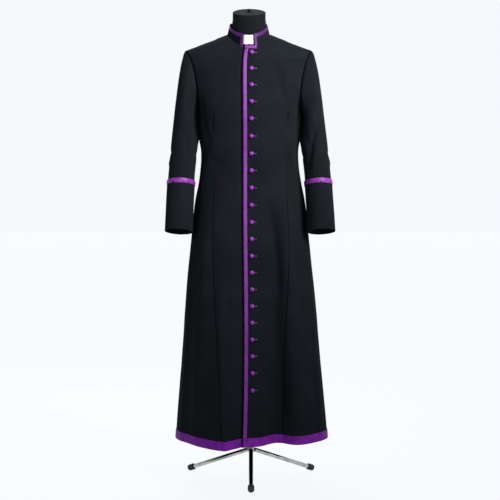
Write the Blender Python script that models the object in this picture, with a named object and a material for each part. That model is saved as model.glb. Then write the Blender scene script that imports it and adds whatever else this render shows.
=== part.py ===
"""Cassock on a limbless dress form and a three-legged stand.

Metres, +Z up, the front of the garment towards -Y, the wearer's left towards +X.
The cloth pieces are walls laid on one body surface. A place on that surface has a
turn in degrees, 0 at the centre front and positive to the wearer's left, and a rise:
a height in metres up to the chest, and above the chest a climb over the shoulder.
"""
import math
from collections import namedtuple

import bmesh
import bpy
from mathutils import Matrix, Vector
from mathutils.bvhtree import BVHTree

# Cloth and seams
WALL = 0.002
GAP = 0.0003
SEAM_GAP = 0.0005
ARMHOLE_GAP = 0.0008
TRIM = 0.0012
TRIM_LIFT = 0.0005
LAP = 0.0016

# Body of the garment
HEM = 0.143
HEM_BAND = 0.030
CHEST = 1.24
CLIMB = 0.30
TIP_HEIGHT = 1.495
TIP_HALF = 0.2234
SHOULDER_SLOPE = 0.387
SHOULDER_DIP = 0.0015
YOKE_HALF = 0.2303
ROUNDNESS = 2.3
FRONT_ARCH = 2.0
BACK_ARCH = 2.8
LEAN_AT_HEM = 0.003
LEAN = 0.00815
FOLD_EASE = 0.5

Section = namedtuple("Section", "height half front back")
SECTIONS = (
    Section(0.143, 0.2650, 0.188, 0.205),
    Section(0.280, 0.2550, 0.177, 0.190),
    Section(0.440, 0.2400, 0.163, 0.174),
    Section(0.600, 0.2275, 0.151, 0.160),
    Section(0.725, 0.2174, 0.143, 0.150),
    Section(0.858, 0.2050, 0.136, 0.141),
    Section(0.928, 0.1980, 0.132, 0.135),
    Section(1.015, 0.1830, 0.126, 0.119),
    Section(1.064, 0.1740, 0.120, 0.107),
    Section(1.106, 0.1678, 0.116, 0.100),
    Section(1.176, 0.1728, 0.120, 0.105),
    Section(1.240, 0.1770, 0.124, 0.115),
)

# Soft vertical folds of the skirt: place across the front or back as a share of the
# half width, half span as the same share, depth at the hem, and the height it starts
Fold = namedtuple("Fold", "face across span depth top")
FOLDS = (
    Fold("front", -0.42, 0.17, 0.088, 1.00),
    Fold("front", 0.34, 0.14, -0.066, 0.98),
    Fold("front", 0.88, 0.08, -0.018, 0.70),
    Fold("back", -0.70, 0.13, 0.034, 0.92),
    Fold("back", -0.40, 0.11, -0.030, 0.96),
    Fold("back", -0.12, 0.12, 0.042, 1.02),
    Fold("back", 0.17, 0.10, -0.034, 0.94),
    Fold("back", 0.45, 0.12, 0.038, 0.98),
    Fold("back", 0.76, 0.10, -0.016, 0.80),
)

# Where the hem hangs lower: place and half span as above, and how far down
Drop = namedtuple("Drop", "face across span fall")
HEM_DROPS = (
    Drop("front", -0.44, 0.15, 0.0062),
    Drop("front", 0.06, 0.14, 0.0034),
    Drop("front", 0.60, 0.13, 0.0050),
    Drop("back", -0.30, 0.20, 0.0040),
    Drop("back", 0.42, 0.16, 0.0050),
)
DROP_TOP = 0.450
DROP_FADE = 0.250

# Closure: the wearer's left front laps over the right one
PIPING_WIDTH = 0.015
UNDERLAP = 0.020
LAP_FLAT = 0.024
LAP_EASE = 0.036
HIDDEN_STEPS = (0.0, 0.016, 0.0325)
EDGE_CLEAR = 0.0012
YOKE_STEP = 0.010
Closure = namedtuple("Closure", "height edge")
CLOSURE = (
    Closure(0.143, -0.0330),
    Closure(0.300, -0.0275),
    Closure(0.540, -0.0235),
    Closure(0.900, -0.0235),
    Closure(1.200, -0.0210),
    Closure(1.440, -0.0204),
    Closure(1.502, -0.0156),
)

# Side-front seam, armhole and neck line
Seam = namedtuple("Seam", "height across")
FRONT_SEAM = (
    Seam(0.143, 0.094),
    Seam(0.330, 0.101),
    Seam(0.540, 0.112),
    Seam(0.770, 0.122),
    Seam(1.000, 0.124),
    Seam(1.240, 0.124),
)
SEAM_CLIMB = 25.0
SEAM_CURVE = 1.6
Armhole = namedtuple("Armhole", "climb front back")
ARMHOLE = (
    Armhole(0.0, 1.000, 1.000),
    Armhole(12.0, 0.935, 0.945),
    Armhole(25.0, 0.895, 0.918),
    Armhole(37.0, 0.887, 0.920),
    Armhole(48.0, 0.895, 0.925),
    Armhole(60.0, 0.912, 0.936),
    Armhole(72.0, 0.942, 0.952),
    Armhole(84.0, 0.966, 0.967),
    Armhole(90.0, 0.970, 0.970),
)
NECK_HALF = 0.0762
NECK_FRONT = 50.0
NECK_END = 51.49
NECK_BACK = 72.0

# Rows of the panels: heights up to the chest, then climbs over the shoulder
LOWER = (HEM, HEM + HEM_BAND, 0.31, 0.45, 0.59, 0.73, 0.85, 0.94, 1.02, 1.10, 1.17, CHEST)
FRONT_YOKE = (12.0, SEAM_CLIMB, 37.0, NECK_FRONT, 50.75, NECK_END, 53.37, 58.5, 67.0, 76.5, 90.0)
BACK_YOKE = (4.0, 12.0, 20.0, 28.0, 45.0, 60.0, NECK_BACK, 73.5, 77.0, 83.0, 90.0)
COLUMNS = 10
SIDE_COLUMNS = 5
UNDERARM_EASE = 1.5

# Sleeve rings: outer and inner points seen from the front, how far forward the ring's
# centre is, half its depth, and its forward tilt in degrees
Ring = namedtuple("Ring", "outer_x outer_z inner_x inner_z forward depth tilt")
SLEEVE = (
    Ring(0.2234, 1.4950, 0.1770, 1.2400, 0.003, 0.0550, 0.0),
    Ring(0.2345, 1.4600, 0.1815, 1.2415, 0.003, 0.0600, 0.0),
    Ring(0.2430, 1.4180, 0.1832, 1.2350, 0.004, 0.0640, 0.0),
    Ring(0.2505, 1.3600, 0.1822, 1.2240, 0.006, 0.0660, 0.0),
    Ring(0.2590, 1.2900, 0.1798, 1.2100, 0.009, 0.0660, 1.0),
    Ring(0.2665, 1.2250, 0.1781, 1.1910, 0.014, 0.0648, 2.5),
    Ring(0.2732, 1.1610, 0.1786, 1.1530, 0.022, 0.0625, 4.7),
    Ring(0.2788, 1.1000, 0.1870, 1.0960, 0.032, 0.0597, 7.5),
    Ring(0.2829, 1.0418, 0.1914, 1.0388, 0.042, 0.0571, 10.1),
    Ring(0.2842, 1.0254, 0.1924, 1.0224, 0.044, 0.0565, 10.5),
    Ring(0.2886, 0.9460, 0.1961, 0.9423, 0.059, 0.0542, 11.3),
    Ring(0.2926, 0.8673, 0.2000, 0.8634, 0.072, 0.0528, 11.8),
)
CAP_RINGS = 4
CAP_FADE = 2.0
CUFF_RING = 8
BAND_RINGS = 1
SLEEVE_SEAM_FRONT = 9
SLEEVE_SEAM_BACK = 18

# Collar, its binding and the white tab
COLLAR_TOP_HALF = 0.0656
COLLAR_TOP_FRONT = 0.0785
COLLAR_TOP_BACK = 0.058
COLLAR_TOP_SIDE = 1.5870
COLLAR_DIP_FRONT = 0.0446
COLLAR_LIFT_BACK = 0.0140
COLLAR_BULGE = 0.0015
BINDING_FROM = 0.77
BINDING_TO = 0.98
TAB_ACROSS = (-0.0375, -0.0250, -0.0125, 0.0, 0.0125, 0.0250, 0.0375)
TAB_LOW = 0.19
TAB_HIGH = 0.93
TAB_CLEAR = 0.0017
TAB_THICK = 0.001
NECK_PIPING_LOW = 3.4
NECK_PIPING_HIGH = 0.3
NECK_PIPING_ENDS = (0.0012, 0.0250)
NECK_PIPING_LIFT = 0.0012

# Buttons: covered domes on short shanks, in one row down the closure
BUTTONS = 21
BUTTON_X = 0.0015
BUTTON_GAP = 0.0006
BUTTON_SIDES = 12
Station = namedtuple("Station", "number height")
BUTTON_STATIONS = (
    Station(1, 1.4790),
    Station(4, 1.3088),
    Station(11, 0.8976),
    Station(21, 0.3306),
)
BUTTON_PROFILE = ((0.0, 0.0), (0.0032, 0.0), (0.0032, 0.0012), (0.0070, 0.0022), (0.0075, 0.0036),
                  (0.0056, 0.0062), (0.0, 0.0074))

# Dress form: a smooth torso, a neck block with a slanted cap, and a small stub
FORM_ROUNDNESS = 2.2
FORM_SIDES = 36
FORM = (
    Section(0.800, 0.1360, 0.092, 0.096),
    Section(0.815, 0.1560, 0.103, 0.108),
    Section(0.860, 0.1720, 0.112, 0.117),
    Section(0.930, 0.1760, 0.115, 0.119),
    Section(1.015, 0.1650, 0.108, 0.104),
    Section(1.106, 0.1520, 0.100, 0.087),
    Section(1.176, 0.1570, 0.104, 0.092),
    Section(1.240, 0.1620, 0.109, 0.102),
    Section(1.330, 0.1660, 0.104, 0.101),
    Section(1.410, 0.1660, 0.090, 0.091),
    Section(1.460, 0.1600, 0.074, 0.078),
    Section(1.495, 0.1400, 0.058, 0.064),
    Section(1.520, 0.1080, 0.050, 0.054),
    Section(1.536, 0.0720, 0.046, 0.048),
)
Turned = namedtuple("Turned", "height radius")
NECK = (
    Turned(1.5363, 0.0560),
    Turned(1.5480, 0.0590),
    Turned(1.5620, 0.0592),
    Turned(1.5780, 0.0592),
    Turned(1.5920, 0.0588),
    Turned(1.6035, 0.0574),
)
NECK_FORWARD = 0.004
NECK_SIDE = 0.0026
NECK_DEPTH = 0.92
NECK_SIDES = 32
NECK_CAP_HEIGHT = 1.627
NECK_CAP_TILT = 22.0
NECK_RIM = 0.004
STUB_RADIUS = 0.006
STUB_HEIGHT = 0.010

# Stand: pole, hub, three legs and their rubber feet
POLE_RADIUS = 0.0125
HUB_RADIUS = 0.012
HUB_LOW = 0.090
HUB_HIGH = 0.112
LEG_RADIUS = 0.0075
LEG_HIGH = 0.0965
LEG_START = 0.0150
FOOT_REACH = 0.2625
FOOT_RADIUS = 0.0112
FOOT_LENGTH = 0.0265
FOOT_PRESS = 0.0008
LEG_ANGLES = (-90.0, 30.0, 150.0)
ROUND_SIDES = 20

Finish = namedtuple("Finish", "color roughness metallic")
FINISHES = {
    "black_cloth": Finish((0.012, 0.014, 0.017, 1.0), 0.85, 0.0),
    "purple_trim": Finish((0.20, 0.035, 0.36, 1.0), 0.45, 0.0),
    "white_tab": Finish((0.86, 0.87, 0.88, 1.0), 0.4, 0.0),
    "form_cover": Finish((0.016, 0.017, 0.019, 1.0), 0.8, 0.0),
    "chrome": Finish((0.75, 0.76, 0.78, 1.0), 0.12, 1.0),
    "rubber": Finish((0.02, 0.02, 0.02, 1.0), 0.7, 0.0),
}


def clear_scene():
    for item in list(bpy.data.objects):
        bpy.data.objects.remove(item, do_unlink=True)


def material(name):
    found = bpy.data.materials.get(name)
    if found:
        return found
    finish = FINISHES[name]
    made = bpy.data.materials.new(name)
    made.use_nodes = True
    shader = made.node_tree.nodes["Principled BSDF"]
    shader.inputs["Base Color"].default_value = finish.color
    shader.inputs["Roughness"].default_value = finish.roughness
    shader.inputs["Metallic"].default_value = finish.metallic
    return made


def add_piece(name, bm, finish, smooth=False):
    bmesh.ops.recalc_face_normals(bm, faces=bm.faces[:])
    if bm.calc_volume(signed=True) < 0:
        bmesh.ops.reverse_faces(bm, faces=bm.faces[:])
    mesh = bpy.data.meshes.new(name)
    bm.to_mesh(mesh)
    bm.free()
    mesh.materials.append(material(finish))
    if smooth:
        mesh.shade_smooth()
        mesh.set_sharp_from_angle(angle=math.radians(40))
    piece = bpy.data.objects.new(name, mesh)
    bpy.context.scene.collection.objects.link(piece)
    return piece


def cloth_slab(name, columns, rows, spot, finish, keep=None):
    """A flat grid thickened by an extrusion, then laid at spot(column, row, face)."""
    bm = bmesh.new()
    bmesh.ops.create_grid(bm, x_segments=columns, y_segments=rows, size=0.5)
    if keep:
        cut = [f for f in bm.faces if not keep(*cell(f.calc_center_median(), columns, rows))]
        bmesh.ops.delete(bm, geom=cut, context="FACES")
    bmesh.ops.triangulate(bm, faces=bm.faces[:], quad_method="FIXED")
    raised = bmesh.ops.extrude_face_region(bm, geom=bm.faces[:], use_keep_orig=True)
    for vert in raised["geom"]:
        if isinstance(vert, bmesh.types.BMVert):
            vert.co.z = 1.0
    for vert in bm.verts:
        column = round((vert.co.x + 0.5) * columns)
        row = round((vert.co.y + 0.5) * rows)
        vert.co = spot(column, row, vert.co.z > 0.5)
    return add_piece(name, bm, finish)


def cell(centre, columns, rows):
    return int((centre.x + 0.5) * columns), int((centre.y + 0.5) * rows)


def smooth_value(table, key, column, at):
    """Read a table between its rows along a smooth curve."""
    keys = [getattr(row, key) for row in table]
    values = [getattr(row, column) for row in table]
    at = min(max(at, keys[0]), keys[-1])
    last = len(keys) - 2
    i = next((n for n in range(last + 1) if at <= keys[n + 1]), last)

    def slope(n):
        low = max(n - 1, 0)
        high = min(n + 1, last + 1)
        return (values[high] - values[low]) / (keys[high] - keys[low])

    span = keys[i + 1] - keys[i]
    t = (at - keys[i]) / span
    rise = values[i + 1] - values[i]
    start = slope(i) * span
    end = slope(i + 1) * span
    return values[i] + start * t + (3 * rise - 2 * start - end) * t**2 + (start + end - 2 * rise) * t**3


def ease(t):
    t = min(max(t, 0.0), 1.0)
    return t * t * (3 - 2 * t)


def mix(a, b, t):
    return a + (b - a) * t


def round_share(turn, roundness):
    """Shares of the half width and of the depth at a turn round an oval."""
    across = math.sin(math.radians(turn))
    ahead = math.cos(math.radians(turn))
    size = (abs(across)**roundness + abs(ahead)**roundness)**(1 / roundness)
    return across / size, ahead / size


def turn_of(share, face):
    """Turn at which the oval is this share of its half width from the middle."""
    share = min(max(share, -1.0), 1.0)
    ahead = (1 - abs(share)**ROUNDNESS)**(1 / ROUNDNESS)
    return math.degrees(math.atan2(share, ahead if face == "front" else -ahead))


def climb_of(rise):
    return max(rise - CHEST, 0.0) / CLIMB * 90.0


def rise_of(climb):
    return CHEST + CLIMB * climb / 90.0


def half_width(rise):
    if rise <= CHEST:
        return smooth_value(SECTIONS, "height", "half", rise)
    return mix(SECTIONS[-1].half, YOKE_HALF, math.sin(math.radians(climb_of(rise))))


def lean_at(height):
    return LEAN_AT_HEM - LEAN * (height - HEM)


def fold_depth(across, face, height):
    total = 0.0
    for fold in FOLDS:
        if fold.face == face and height < fold.top:
            grown = ((fold.top - height) / (fold.top - HEM))**1.3
            total += fold.depth * grown * math.exp(-0.5 * ((across - fold.across) / fold.span)**2)
    return total


def hem_drop(across, face, height):
    total = sum(drop.fall * math.exp(-0.5 * ((across - drop.across) / drop.span)**2)
                for drop in HEM_DROPS if drop.face == face)
    return total * ease((DROP_TOP - height) / DROP_FADE)


def body_point(turn, rise):
    across, ahead = round_share(turn, ROUNDNESS)
    face = "front" if ahead >= 0 else "back"
    x = half_width(rise) * across
    if rise <= CHEST:
        height = rise
        depth = smooth_value(SECTIONS, "height", face, rise)
        fold = fold_depth(across, face, rise) * math.copysign(ease(abs(ahead) / FOLD_EASE), ahead)
        y = -depth * ahead - fold
        height -= hem_drop(across, face, rise) * ease(abs(ahead) / FOLD_EASE)
    else:
        lift = math.sin(math.radians(climb_of(rise)))
        ridge = TIP_HEIGHT + SHOULDER_SLOPE * (TIP_HALF - abs(x))
        ridge -= SHOULDER_DIP * math.sin(math.pi * min(abs(x) / TIP_HALF, 1.0))
        height = mix(CHEST, ridge, lift)
        arch = FRONT_ARCH if face == "front" else BACK_ARCH
        y = -getattr(SECTIONS[-1], face) * ahead * max(1 - lift**arch, 0.0)**(1 / arch)
    return Vector((x + lean_at(height), y, height))


def body_frame(turn, rise):
    """Point on the cloth's outer face, its outward normal, and the way round."""
    step = 0.05
    low = max(rise - 0.0004, HEM)
    high = min(rise + 0.0004, rise_of(90.0))
    point = body_point(turn, rise)
    around = body_point(turn + step, rise) - body_point(turn - step, rise)
    upward = body_point(turn, high) - body_point(turn, low)
    if climb_of(rise) > 89.9:
        around = Vector((1.0, 0.0, -math.copysign(SHOULDER_SLOPE, turn)))
        normal = Vector((math.copysign(SHOULDER_SLOPE, turn), 0.0, 1.0))
        return point, normal.normalized(), around.normalized()
    normal = around.cross(upward)
    return point, normal.normalized(), around.normalized()


def neck_across(climb, face):
    """Distance of the neck line from the middle at a climb."""
    start = NECK_FRONT if face == "front" else NECK_BACK
    share = 1 - max(climb - start, 0.0) / (90.0 - start)
    return NECK_HALF * math.sqrt(1 - share * share)


def seam_turn(rise):
    """Turn of the side-front seam, which curves out into the armhole."""
    low = min(rise, CHEST)
    across = smooth_value(FRONT_SEAM, "height", "across", low)
    turn = turn_of(across / half_width(low), "front")
    share = (climb_of(rise) / SEAM_CLIMB)**SEAM_CURVE
    return mix(turn, armhole_turn(SEAM_CLIMB, "front"), share)


def armhole_turn(climb, face):
    return turn_of(smooth_value(ARMHOLE, "climb", face, climb), face)


FRONT_ROWS = [*LOWER, *(rise_of(c) for c in FRONT_YOKE)]
BACK_ROWS = [*LOWER, *(rise_of(c) for c in BACK_YOKE)]
SIDE_ROWS = len(LOWER) - 1 + FRONT_YOKE.index(SEAM_CLIMB) + 1


def side_seam_rise(row):
    """Rows of the side seam, the same on the side front and on the back."""
    share = row / SIDE_ROWS
    spot = share * (len(LOWER) - 1)
    whole = min(int(spot), len(LOWER) - 2)
    if row <= 1:
        return LOWER[row]
    return mix(LOWER[whole], LOWER[whole + 1], spot - whole)


BACK_RISES = [side_seam_rise(n) for n in range(SIDE_ROWS + 1)]
BACK_RISES += [rise_of(c) for c in BACK_YOKE]


def front_inner(side, rise):
    """Distances from the middle of the first columns of a front, before even ones."""
    climb = climb_of(rise)
    edge = smooth_value(CLOSURE, "height", "edge", body_point(0.0, rise).z)
    if climb > NECK_FRONT + 0.01:
        share = (climb - NECK_FRONT) / (NECK_END - NECK_FRONT)
        start = neck_across(climb, "front")
        if share < 0.99:
            start = mix(edge if side > 0 else -UNDERLAP, neck_across(NECK_END, "front"), share)
        return [start, start + PIPING_WIDTH] if side > 0 else [start + YOKE_STEP * n for n in range(4)]
    if side > 0:
        return [edge, edge + PIPING_WIDTH]
    return [*(step - UNDERLAP for step in HIDDEN_STEPS), EDGE_CLEAR - edge]


def lap_lift(side, across):
    if side < 0:
        return 0.0
    return (WALL + LAP) * (1 - ease((across - LAP_FLAT) / LAP_EASE))


def front_spot(side, column, row, lift):
    rise = FRONT_ROWS[row]
    first = front_inner(side, rise)
    climb = climb_of(rise)
    at_seam = climb <= SEAM_CLIMB + 0.01
    outer = seam_turn(rise) if at_seam else armhole_turn(climb, "front")
    half = half_width(rise)
    if column < len(first):
        turn = turn_of(first[column] / half, "front")
    else:
        start = turn_of(first[-1] / half, "front")
        turn = mix(start, outer, (column - len(first) + 1) / (COLUMNS - len(first) + 1))
    point, normal, around = body_frame(side * turn, rise)
    across = half * round_share(turn, ROUNDNESS)[0]
    point += normal * (lift + lap_lift(side, across))
    if column == COLUMNS and at_seam:
        point -= around * side * SEAM_GAP / 2
    if row == len(FRONT_ROWS) - 1:
        point.y -= SEAM_GAP / 2
    return point


def side_spot(side, column, row, lift):
    share = column / SIDE_COLUMNS
    up = row / SIDE_ROWS
    seam_rise = FRONT_ROWS[row]
    rise = mix(seam_rise, side_seam_rise(row), share)
    turn = mix(seam_turn(seam_rise), 90.0, share)
    top_climb = SEAM_CLIMB * (1 - share)**UNDERARM_EASE
    top_turn = mix(seam_turn(FRONT_ROWS[SIDE_ROWS]), 90.0, share)
    reach = up**4
    rise += (rise_of(top_climb) - mix(FRONT_ROWS[SIDE_ROWS], CHEST, share)) * reach
    turn += (armhole_turn(top_climb, "front") - top_turn) * reach
    point, normal, around = body_frame(side * turn, rise)
    point += normal * lift
    if column == 0:
        point += around * side * SEAM_GAP / 2
    if column == SIDE_COLUMNS:
        point.y -= SEAM_GAP / 2
    return point


def back_spot(side, column, row, lift):
    rise = BACK_RISES[row]
    climb = climb_of(rise)
    half = half_width(rise)
    inner = 180.0
    if climb > NECK_BACK:
        inner = turn_of(neck_across(climb, "back") / half, "back")
    outer = armhole_turn(climb, "back") if climb > 0 else 90.0
    turn = mix(inner, outer, column / COLUMNS)
    point, normal, around = body_frame(side * turn, rise)
    point += normal * lift
    if column == 0 and climb <= NECK_BACK:
        point -= around * side * SEAM_GAP / 2
    if column == COLUMNS and climb <= 0:
        point.y += SEAM_GAP / 2
    if row == len(BACK_RISES) - 1:
        point.y += SEAM_GAP / 2
    return point


def add_panels():
    panels = {}
    kinds = (
        ("front", front_spot, COLUMNS, len(FRONT_ROWS) - 1),
        ("side_front", side_spot, SIDE_COLUMNS, SIDE_ROWS),
        ("back", back_spot, COLUMNS, len(BACK_RISES) - 1),
    )
    for kind, place, columns, rows in kinds:
        for side, name in ((1, "left"), (-1, "right")):
            turned = (kind == "back") == (side > 0)

            def spot(column, row, outer, place=place, side=side, turned=turned, columns=columns):
                own = columns - column if turned else column
                return place(side, own, row, 0.0 if outer else -WALL)

            full = f"{kind}_{name}"
            panels[full] = cloth_slab(full, columns, rows, spot, "black_cloth")
    return panels


def add_hem_band():
    places = [(front_spot, 1, n) for n in range(1, COLUMNS + 1)]
    places += [(side_spot, 1, n) for n in range(SIDE_COLUMNS + 1)]
    places += [(back_spot, 1, n) for n in range(COLUMNS, -1, -1)]
    places += [(back_spot, -1, n) for n in range(COLUMNS + 1)]
    places += [(side_spot, -1, n) for n in range(SIDE_COLUMNS, -1, -1)]
    places += [(front_spot, -1, n) for n in range(COLUMNS, 2, -1)]

    def spot(column, row, outer):
        place, side, panel_column = places[column]
        point = place(side, panel_column, row, TRIM_LIFT + (TRIM if outer else 0.0))
        if column == 0:
            point.x += 2 * GAP
        return point

    cloth_slab("hem_band", len(places) - 1, 1, spot, "purple_trim")


def add_front_piping():
    rows = FRONT_YOKE.index(NECK_FRONT) + len(LOWER)

    def spot(column, row, outer):
        return front_spot(1, column, row, TRIM_LIFT + (TRIM if outer else 0.0))

    cloth_slab("front_piping", 1, rows, spot, "purple_trim")

    def neck_spot(column, row, outer):
        climb = NECK_FRONT - mix(NECK_PIPING_LOW, NECK_PIPING_HIGH, row)
        rise = rise_of(climb)
        across = mix(*NECK_PIPING_ENDS, column / 2)
        turn = turn_of(across / half_width(rise), "front")
        point, normal, _ = body_frame(turn, rise)
        return point + normal * (lap_lift(1, across) + NECK_PIPING_LIFT + (TRIM if outer else 0.0))

    cloth_slab("neck_piping", 2, 1, neck_spot, "purple_trim")


def armhole_ring():
    """Climbs and faces of the armhole's points: over the front, under, up the back."""
    ring = [(c, "front") for c in reversed(FRONT_YOKE) if c >= SEAM_CLIMB]
    for column in range(1, SIDE_COLUMNS + 1):
        ring.append((SEAM_CLIMB * (1 - column / SIDE_COLUMNS)**UNDERARM_EASE, "front"))
    ring += [(c, "back") for c in BACK_YOKE[:-1]]
    return ring


def ring_axes(ring, side):
    """Centre, long half axis and depth axis of one sleeve ring."""
    outer = Vector((side * ring.outer_x + lean_at(ring.outer_z), -ring.forward, ring.outer_z))
    inner = Vector((side * ring.inner_x + lean_at(ring.inner_z), -ring.forward, ring.inner_z))
    tilt = math.radians(ring.tilt)
    forward = Vector((0.0, -math.cos(tilt), math.sin(tilt))) * ring.depth
    return (outer + inner) / 2, (outer - inner) / 2, forward


def sleeve_lattice(side):
    """Points and outward normals of a sleeve, ring by ring from the armhole down."""
    keys = armhole_ring()
    count = len(keys)
    under = next(n for n, key in enumerate(keys) if key[0] < 0.01)
    frames = [body_frame(side * armhole_turn(c, face), rise_of(c)) for c, face in keys]
    hole = [frame[0] for frame in frames]
    centre, long_axis, forward = ring_axes(SLEEVE[0], side)
    angles = []
    for (_, face), point in zip(keys, hole):
        share = (point - centre).dot(long_axis) / long_axis.length_squared
        angle = math.degrees(math.acos(min(max(share, -1.0), 1.0)))
        angles.append(angle if face == "front" else 360.0 - angle)
    angles[0] = 0.0
    even = [180.0 * n / under for n in range(under)]
    even += [180.0 + 180.0 * (n - under) / (count - under) for n in range(under, count)]
    points = []
    for level, ring in enumerate(SLEEVE):
        middle, long_side, ahead = ring_axes(ring, side)
        settle = ease(level / CAP_RINGS)
        keep = (1 - min(level / CAP_RINGS, 1.0))**CAP_FADE
        row = []
        for n in range(count):
            angle = math.radians(mix(angles[n], even[n], settle))
            first = math.radians(angles[n])
            oval = middle + long_side * math.cos(angle) + ahead * math.sin(angle)
            start = centre + long_axis * math.cos(first) + forward * math.sin(first)
            row.append(oval + (hole[n] - start) * keep)
        points.append(row)
    normals = []
    for level, row in enumerate(points):
        middle = ring_axes(SLEEVE[level], side)[0]
        line = []
        for n in range(count):
            around = row[(n + 1) % count] - row[n - 1]
            above = points[max(level - 1, 0)][n]
            below = points[min(level + 1, len(points) - 1)][n]
            normal = around.cross(below - above).normalized()
            if normal.dot(row[n] - middle) < 0:
                normal = -normal
            line.append(normal)
        normals.append(line)
    for n in range(count):
        along = (hole[(n + 1) % count] - hole[n - 1]).normalized()
        out = frames[n][1].cross(along).normalized()
        if out.dot(points[1][n] - hole[n]) < 0:
            out = -out
        points[0][n] = hole[n] + out * ARMHOLE_GAP
        crossing = max(normals[0][n].dot(out), 0.0)
        normals[0][n] = (normals[0][n] - out * crossing).normalized()
    return points, normals


def add_sleeve(side, name):
    points, normals = sleeve_lattice(side)
    count = len(points[0])

    def spot(column, row, lift, gap_at=()):
        n = column % count
        point = points[row][n] + normals[row][n] * lift
        for column_at, way in gap_at:
            if column == column_at:
                around = points[row][(n + 1) % count] - points[row][n - 1]
                point += around.normalized() * way * ARMHOLE_GAP / 2
        return point

    last = len(SLEEVE) - 1
    halves = (
        ("upper_sleeve", SLEEVE_SEAM_BACK, SLEEVE_SEAM_FRONT + count),
        ("under_sleeve", SLEEVE_SEAM_FRONT, SLEEVE_SEAM_BACK),
    )
    for kind, start, end in halves:
        ends = ((start, 1), (end, -1))

        def half_spot(column, row, outer, start=start, ends=ends):
            return spot(start + column, last - row, 0.0 if outer else -WALL, ends)

        cloth_slab(f"{kind}_{name}", end - start, last, half_spot, "black_cloth")

    ends = ((SLEEVE_SEAM_BACK, 1), (SLEEVE_SEAM_BACK + count, -1))

    def cuff_spot(column, row, outer):
        lift = GAP + (WALL if outer else 0.0)
        return spot(SLEEVE_SEAM_BACK + column, last - row, lift, ends)

    cloth_slab(f"cuff_{name}", count, last - CUFF_RING, cuff_spot, "black_cloth")

    def band_spot(column, row, outer):
        lift = WALL + 2 * GAP + (TRIM if outer else 0.0)
        return spot(SLEEVE_SEAM_BACK + column, CUFF_RING + BAND_RINGS - row, lift, ends)

    cloth_slab(f"cuff_band_{name}", count, BAND_RINGS, band_spot, "purple_trim")


def collar_keys():
    """Neck line points from the collar's left end round the back to its right end."""
    half = [(c, "front") for c in FRONT_YOKE if c >= NECK_END]
    half += [(c, "back") for c in reversed(BACK_YOKE[:-1]) if c >= NECK_BACK]
    ring = [(1, c, face) for c, face in half]
    ring += [(-1, c, face) for c, face in reversed(half[:-1])]
    return ring


def collar_top(across, face):
    share = min(max(across / NECK_HALF, -1.0), 1.0)
    ahead = math.sqrt(1 - share * share)
    if face == "front":
        y = -COLLAR_TOP_FRONT * ahead
        z = COLLAR_TOP_SIDE - COLLAR_DIP_FRONT * ahead
    else:
        y = COLLAR_TOP_BACK * ahead
        z = COLLAR_TOP_SIDE + COLLAR_LIFT_BACK * ahead
    return Vector((COLLAR_TOP_HALF * share + lean_at(z), y, z))


def neck_point(side, climb, face):
    across = neck_across(climb, face)
    turn = turn_of(across / half_width(rise_of(climb)), face)
    point, normal, _ = body_frame(side * turn, rise_of(climb))
    return point + normal * lap_lift(side, across if face == "front" else NECK_HALF), normal


def collar_spot(base, top, share, lift):
    """A place on the collar's wall, a share of the way up, moved out by lift."""
    out = Vector((base.x - lean_at(base.z), base.y, 0.0)).normalized()
    up = (top - base).normalized()
    normal = (out - up * out.dot(up)).normalized()
    bulge = COLLAR_BULGE * math.sin(math.pi * share)
    return base.lerp(top, share) + normal * (lift + bulge)


def add_collar():
    keys = collar_keys()
    frames = [neck_point(side, climb, face) for side, climb, face in keys]
    hole = [point for point, _ in frames]
    rails = []
    for n, (side, climb, face) in enumerate(keys):
        point, normal = frames[n]
        along = (hole[min(n + 1, len(hole) - 1)] - hole[max(n - 1, 0)]).normalized()
        out = normal.cross(along).normalized()
        top = collar_top(side * neck_across(climb, face), face)
        if out.dot(top - point) < 0:
            out = -out
        rails.append((point + out * 2 * GAP, top))
    shares = (0.0, BINDING_FROM, BINDING_TO, 1.0)

    def spot(column, row, outer):
        return collar_spot(*rails[column], shares[row], 0.0 if outer else -WALL)

    cloth_slab("collar", len(rails) - 1, 3, spot, "black_cloth")

    def binding_spot(column, row, outer):
        return collar_spot(*rails[column], shares[row], GAP + (TRIM if outer else 0.0))

    def keep(column, row):
        return row == 1 or column in (0, len(rails) - 2)

    cloth_slab("collar_binding", len(rails) - 1, 2, binding_spot, "purple_trim", keep)


def add_tab():
    def spot(column, row, outer):
        across = TAB_ACROSS[column]
        share = min(abs(across) / NECK_HALF, 1.0)
        climb = NECK_FRONT + (90.0 - NECK_FRONT) * (1 - math.sqrt(1 - share * share))
        turn = turn_of(across / half_width(rise_of(climb)), "front")
        base = body_frame(turn, rise_of(climb))[0]
        height = mix(TAB_LOW, TAB_HIGH, row)
        lift = -WALL - TAB_CLEAR - (0.0 if outer else TAB_THICK)
        return collar_spot(base, collar_top(across, "front"), height, lift)

    cloth_slab("collar_tab", len(TAB_ACROSS) - 1, 1, spot, "white_tab")


def spun(profile, sides):
    """A closed round shape from (radius, height) points, from its low to its high centre."""
    bm = bmesh.new()
    verts = [bm.verts.new((radius, 0.0, height)) for radius, height in profile]
    edges = [bm.edges.new(pair) for pair in zip(verts, verts[1:])]
    bmesh.ops.spin(bm, geom=verts + edges, cent=(0, 0, 0), axis=(0, 0, 1), dvec=(0, 0, 0),
                   angle=math.tau, steps=sides, use_merge=True)
    bmesh.ops.remove_doubles(bm, verts=bm.verts[:], dist=0.00001)
    return bm


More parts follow.
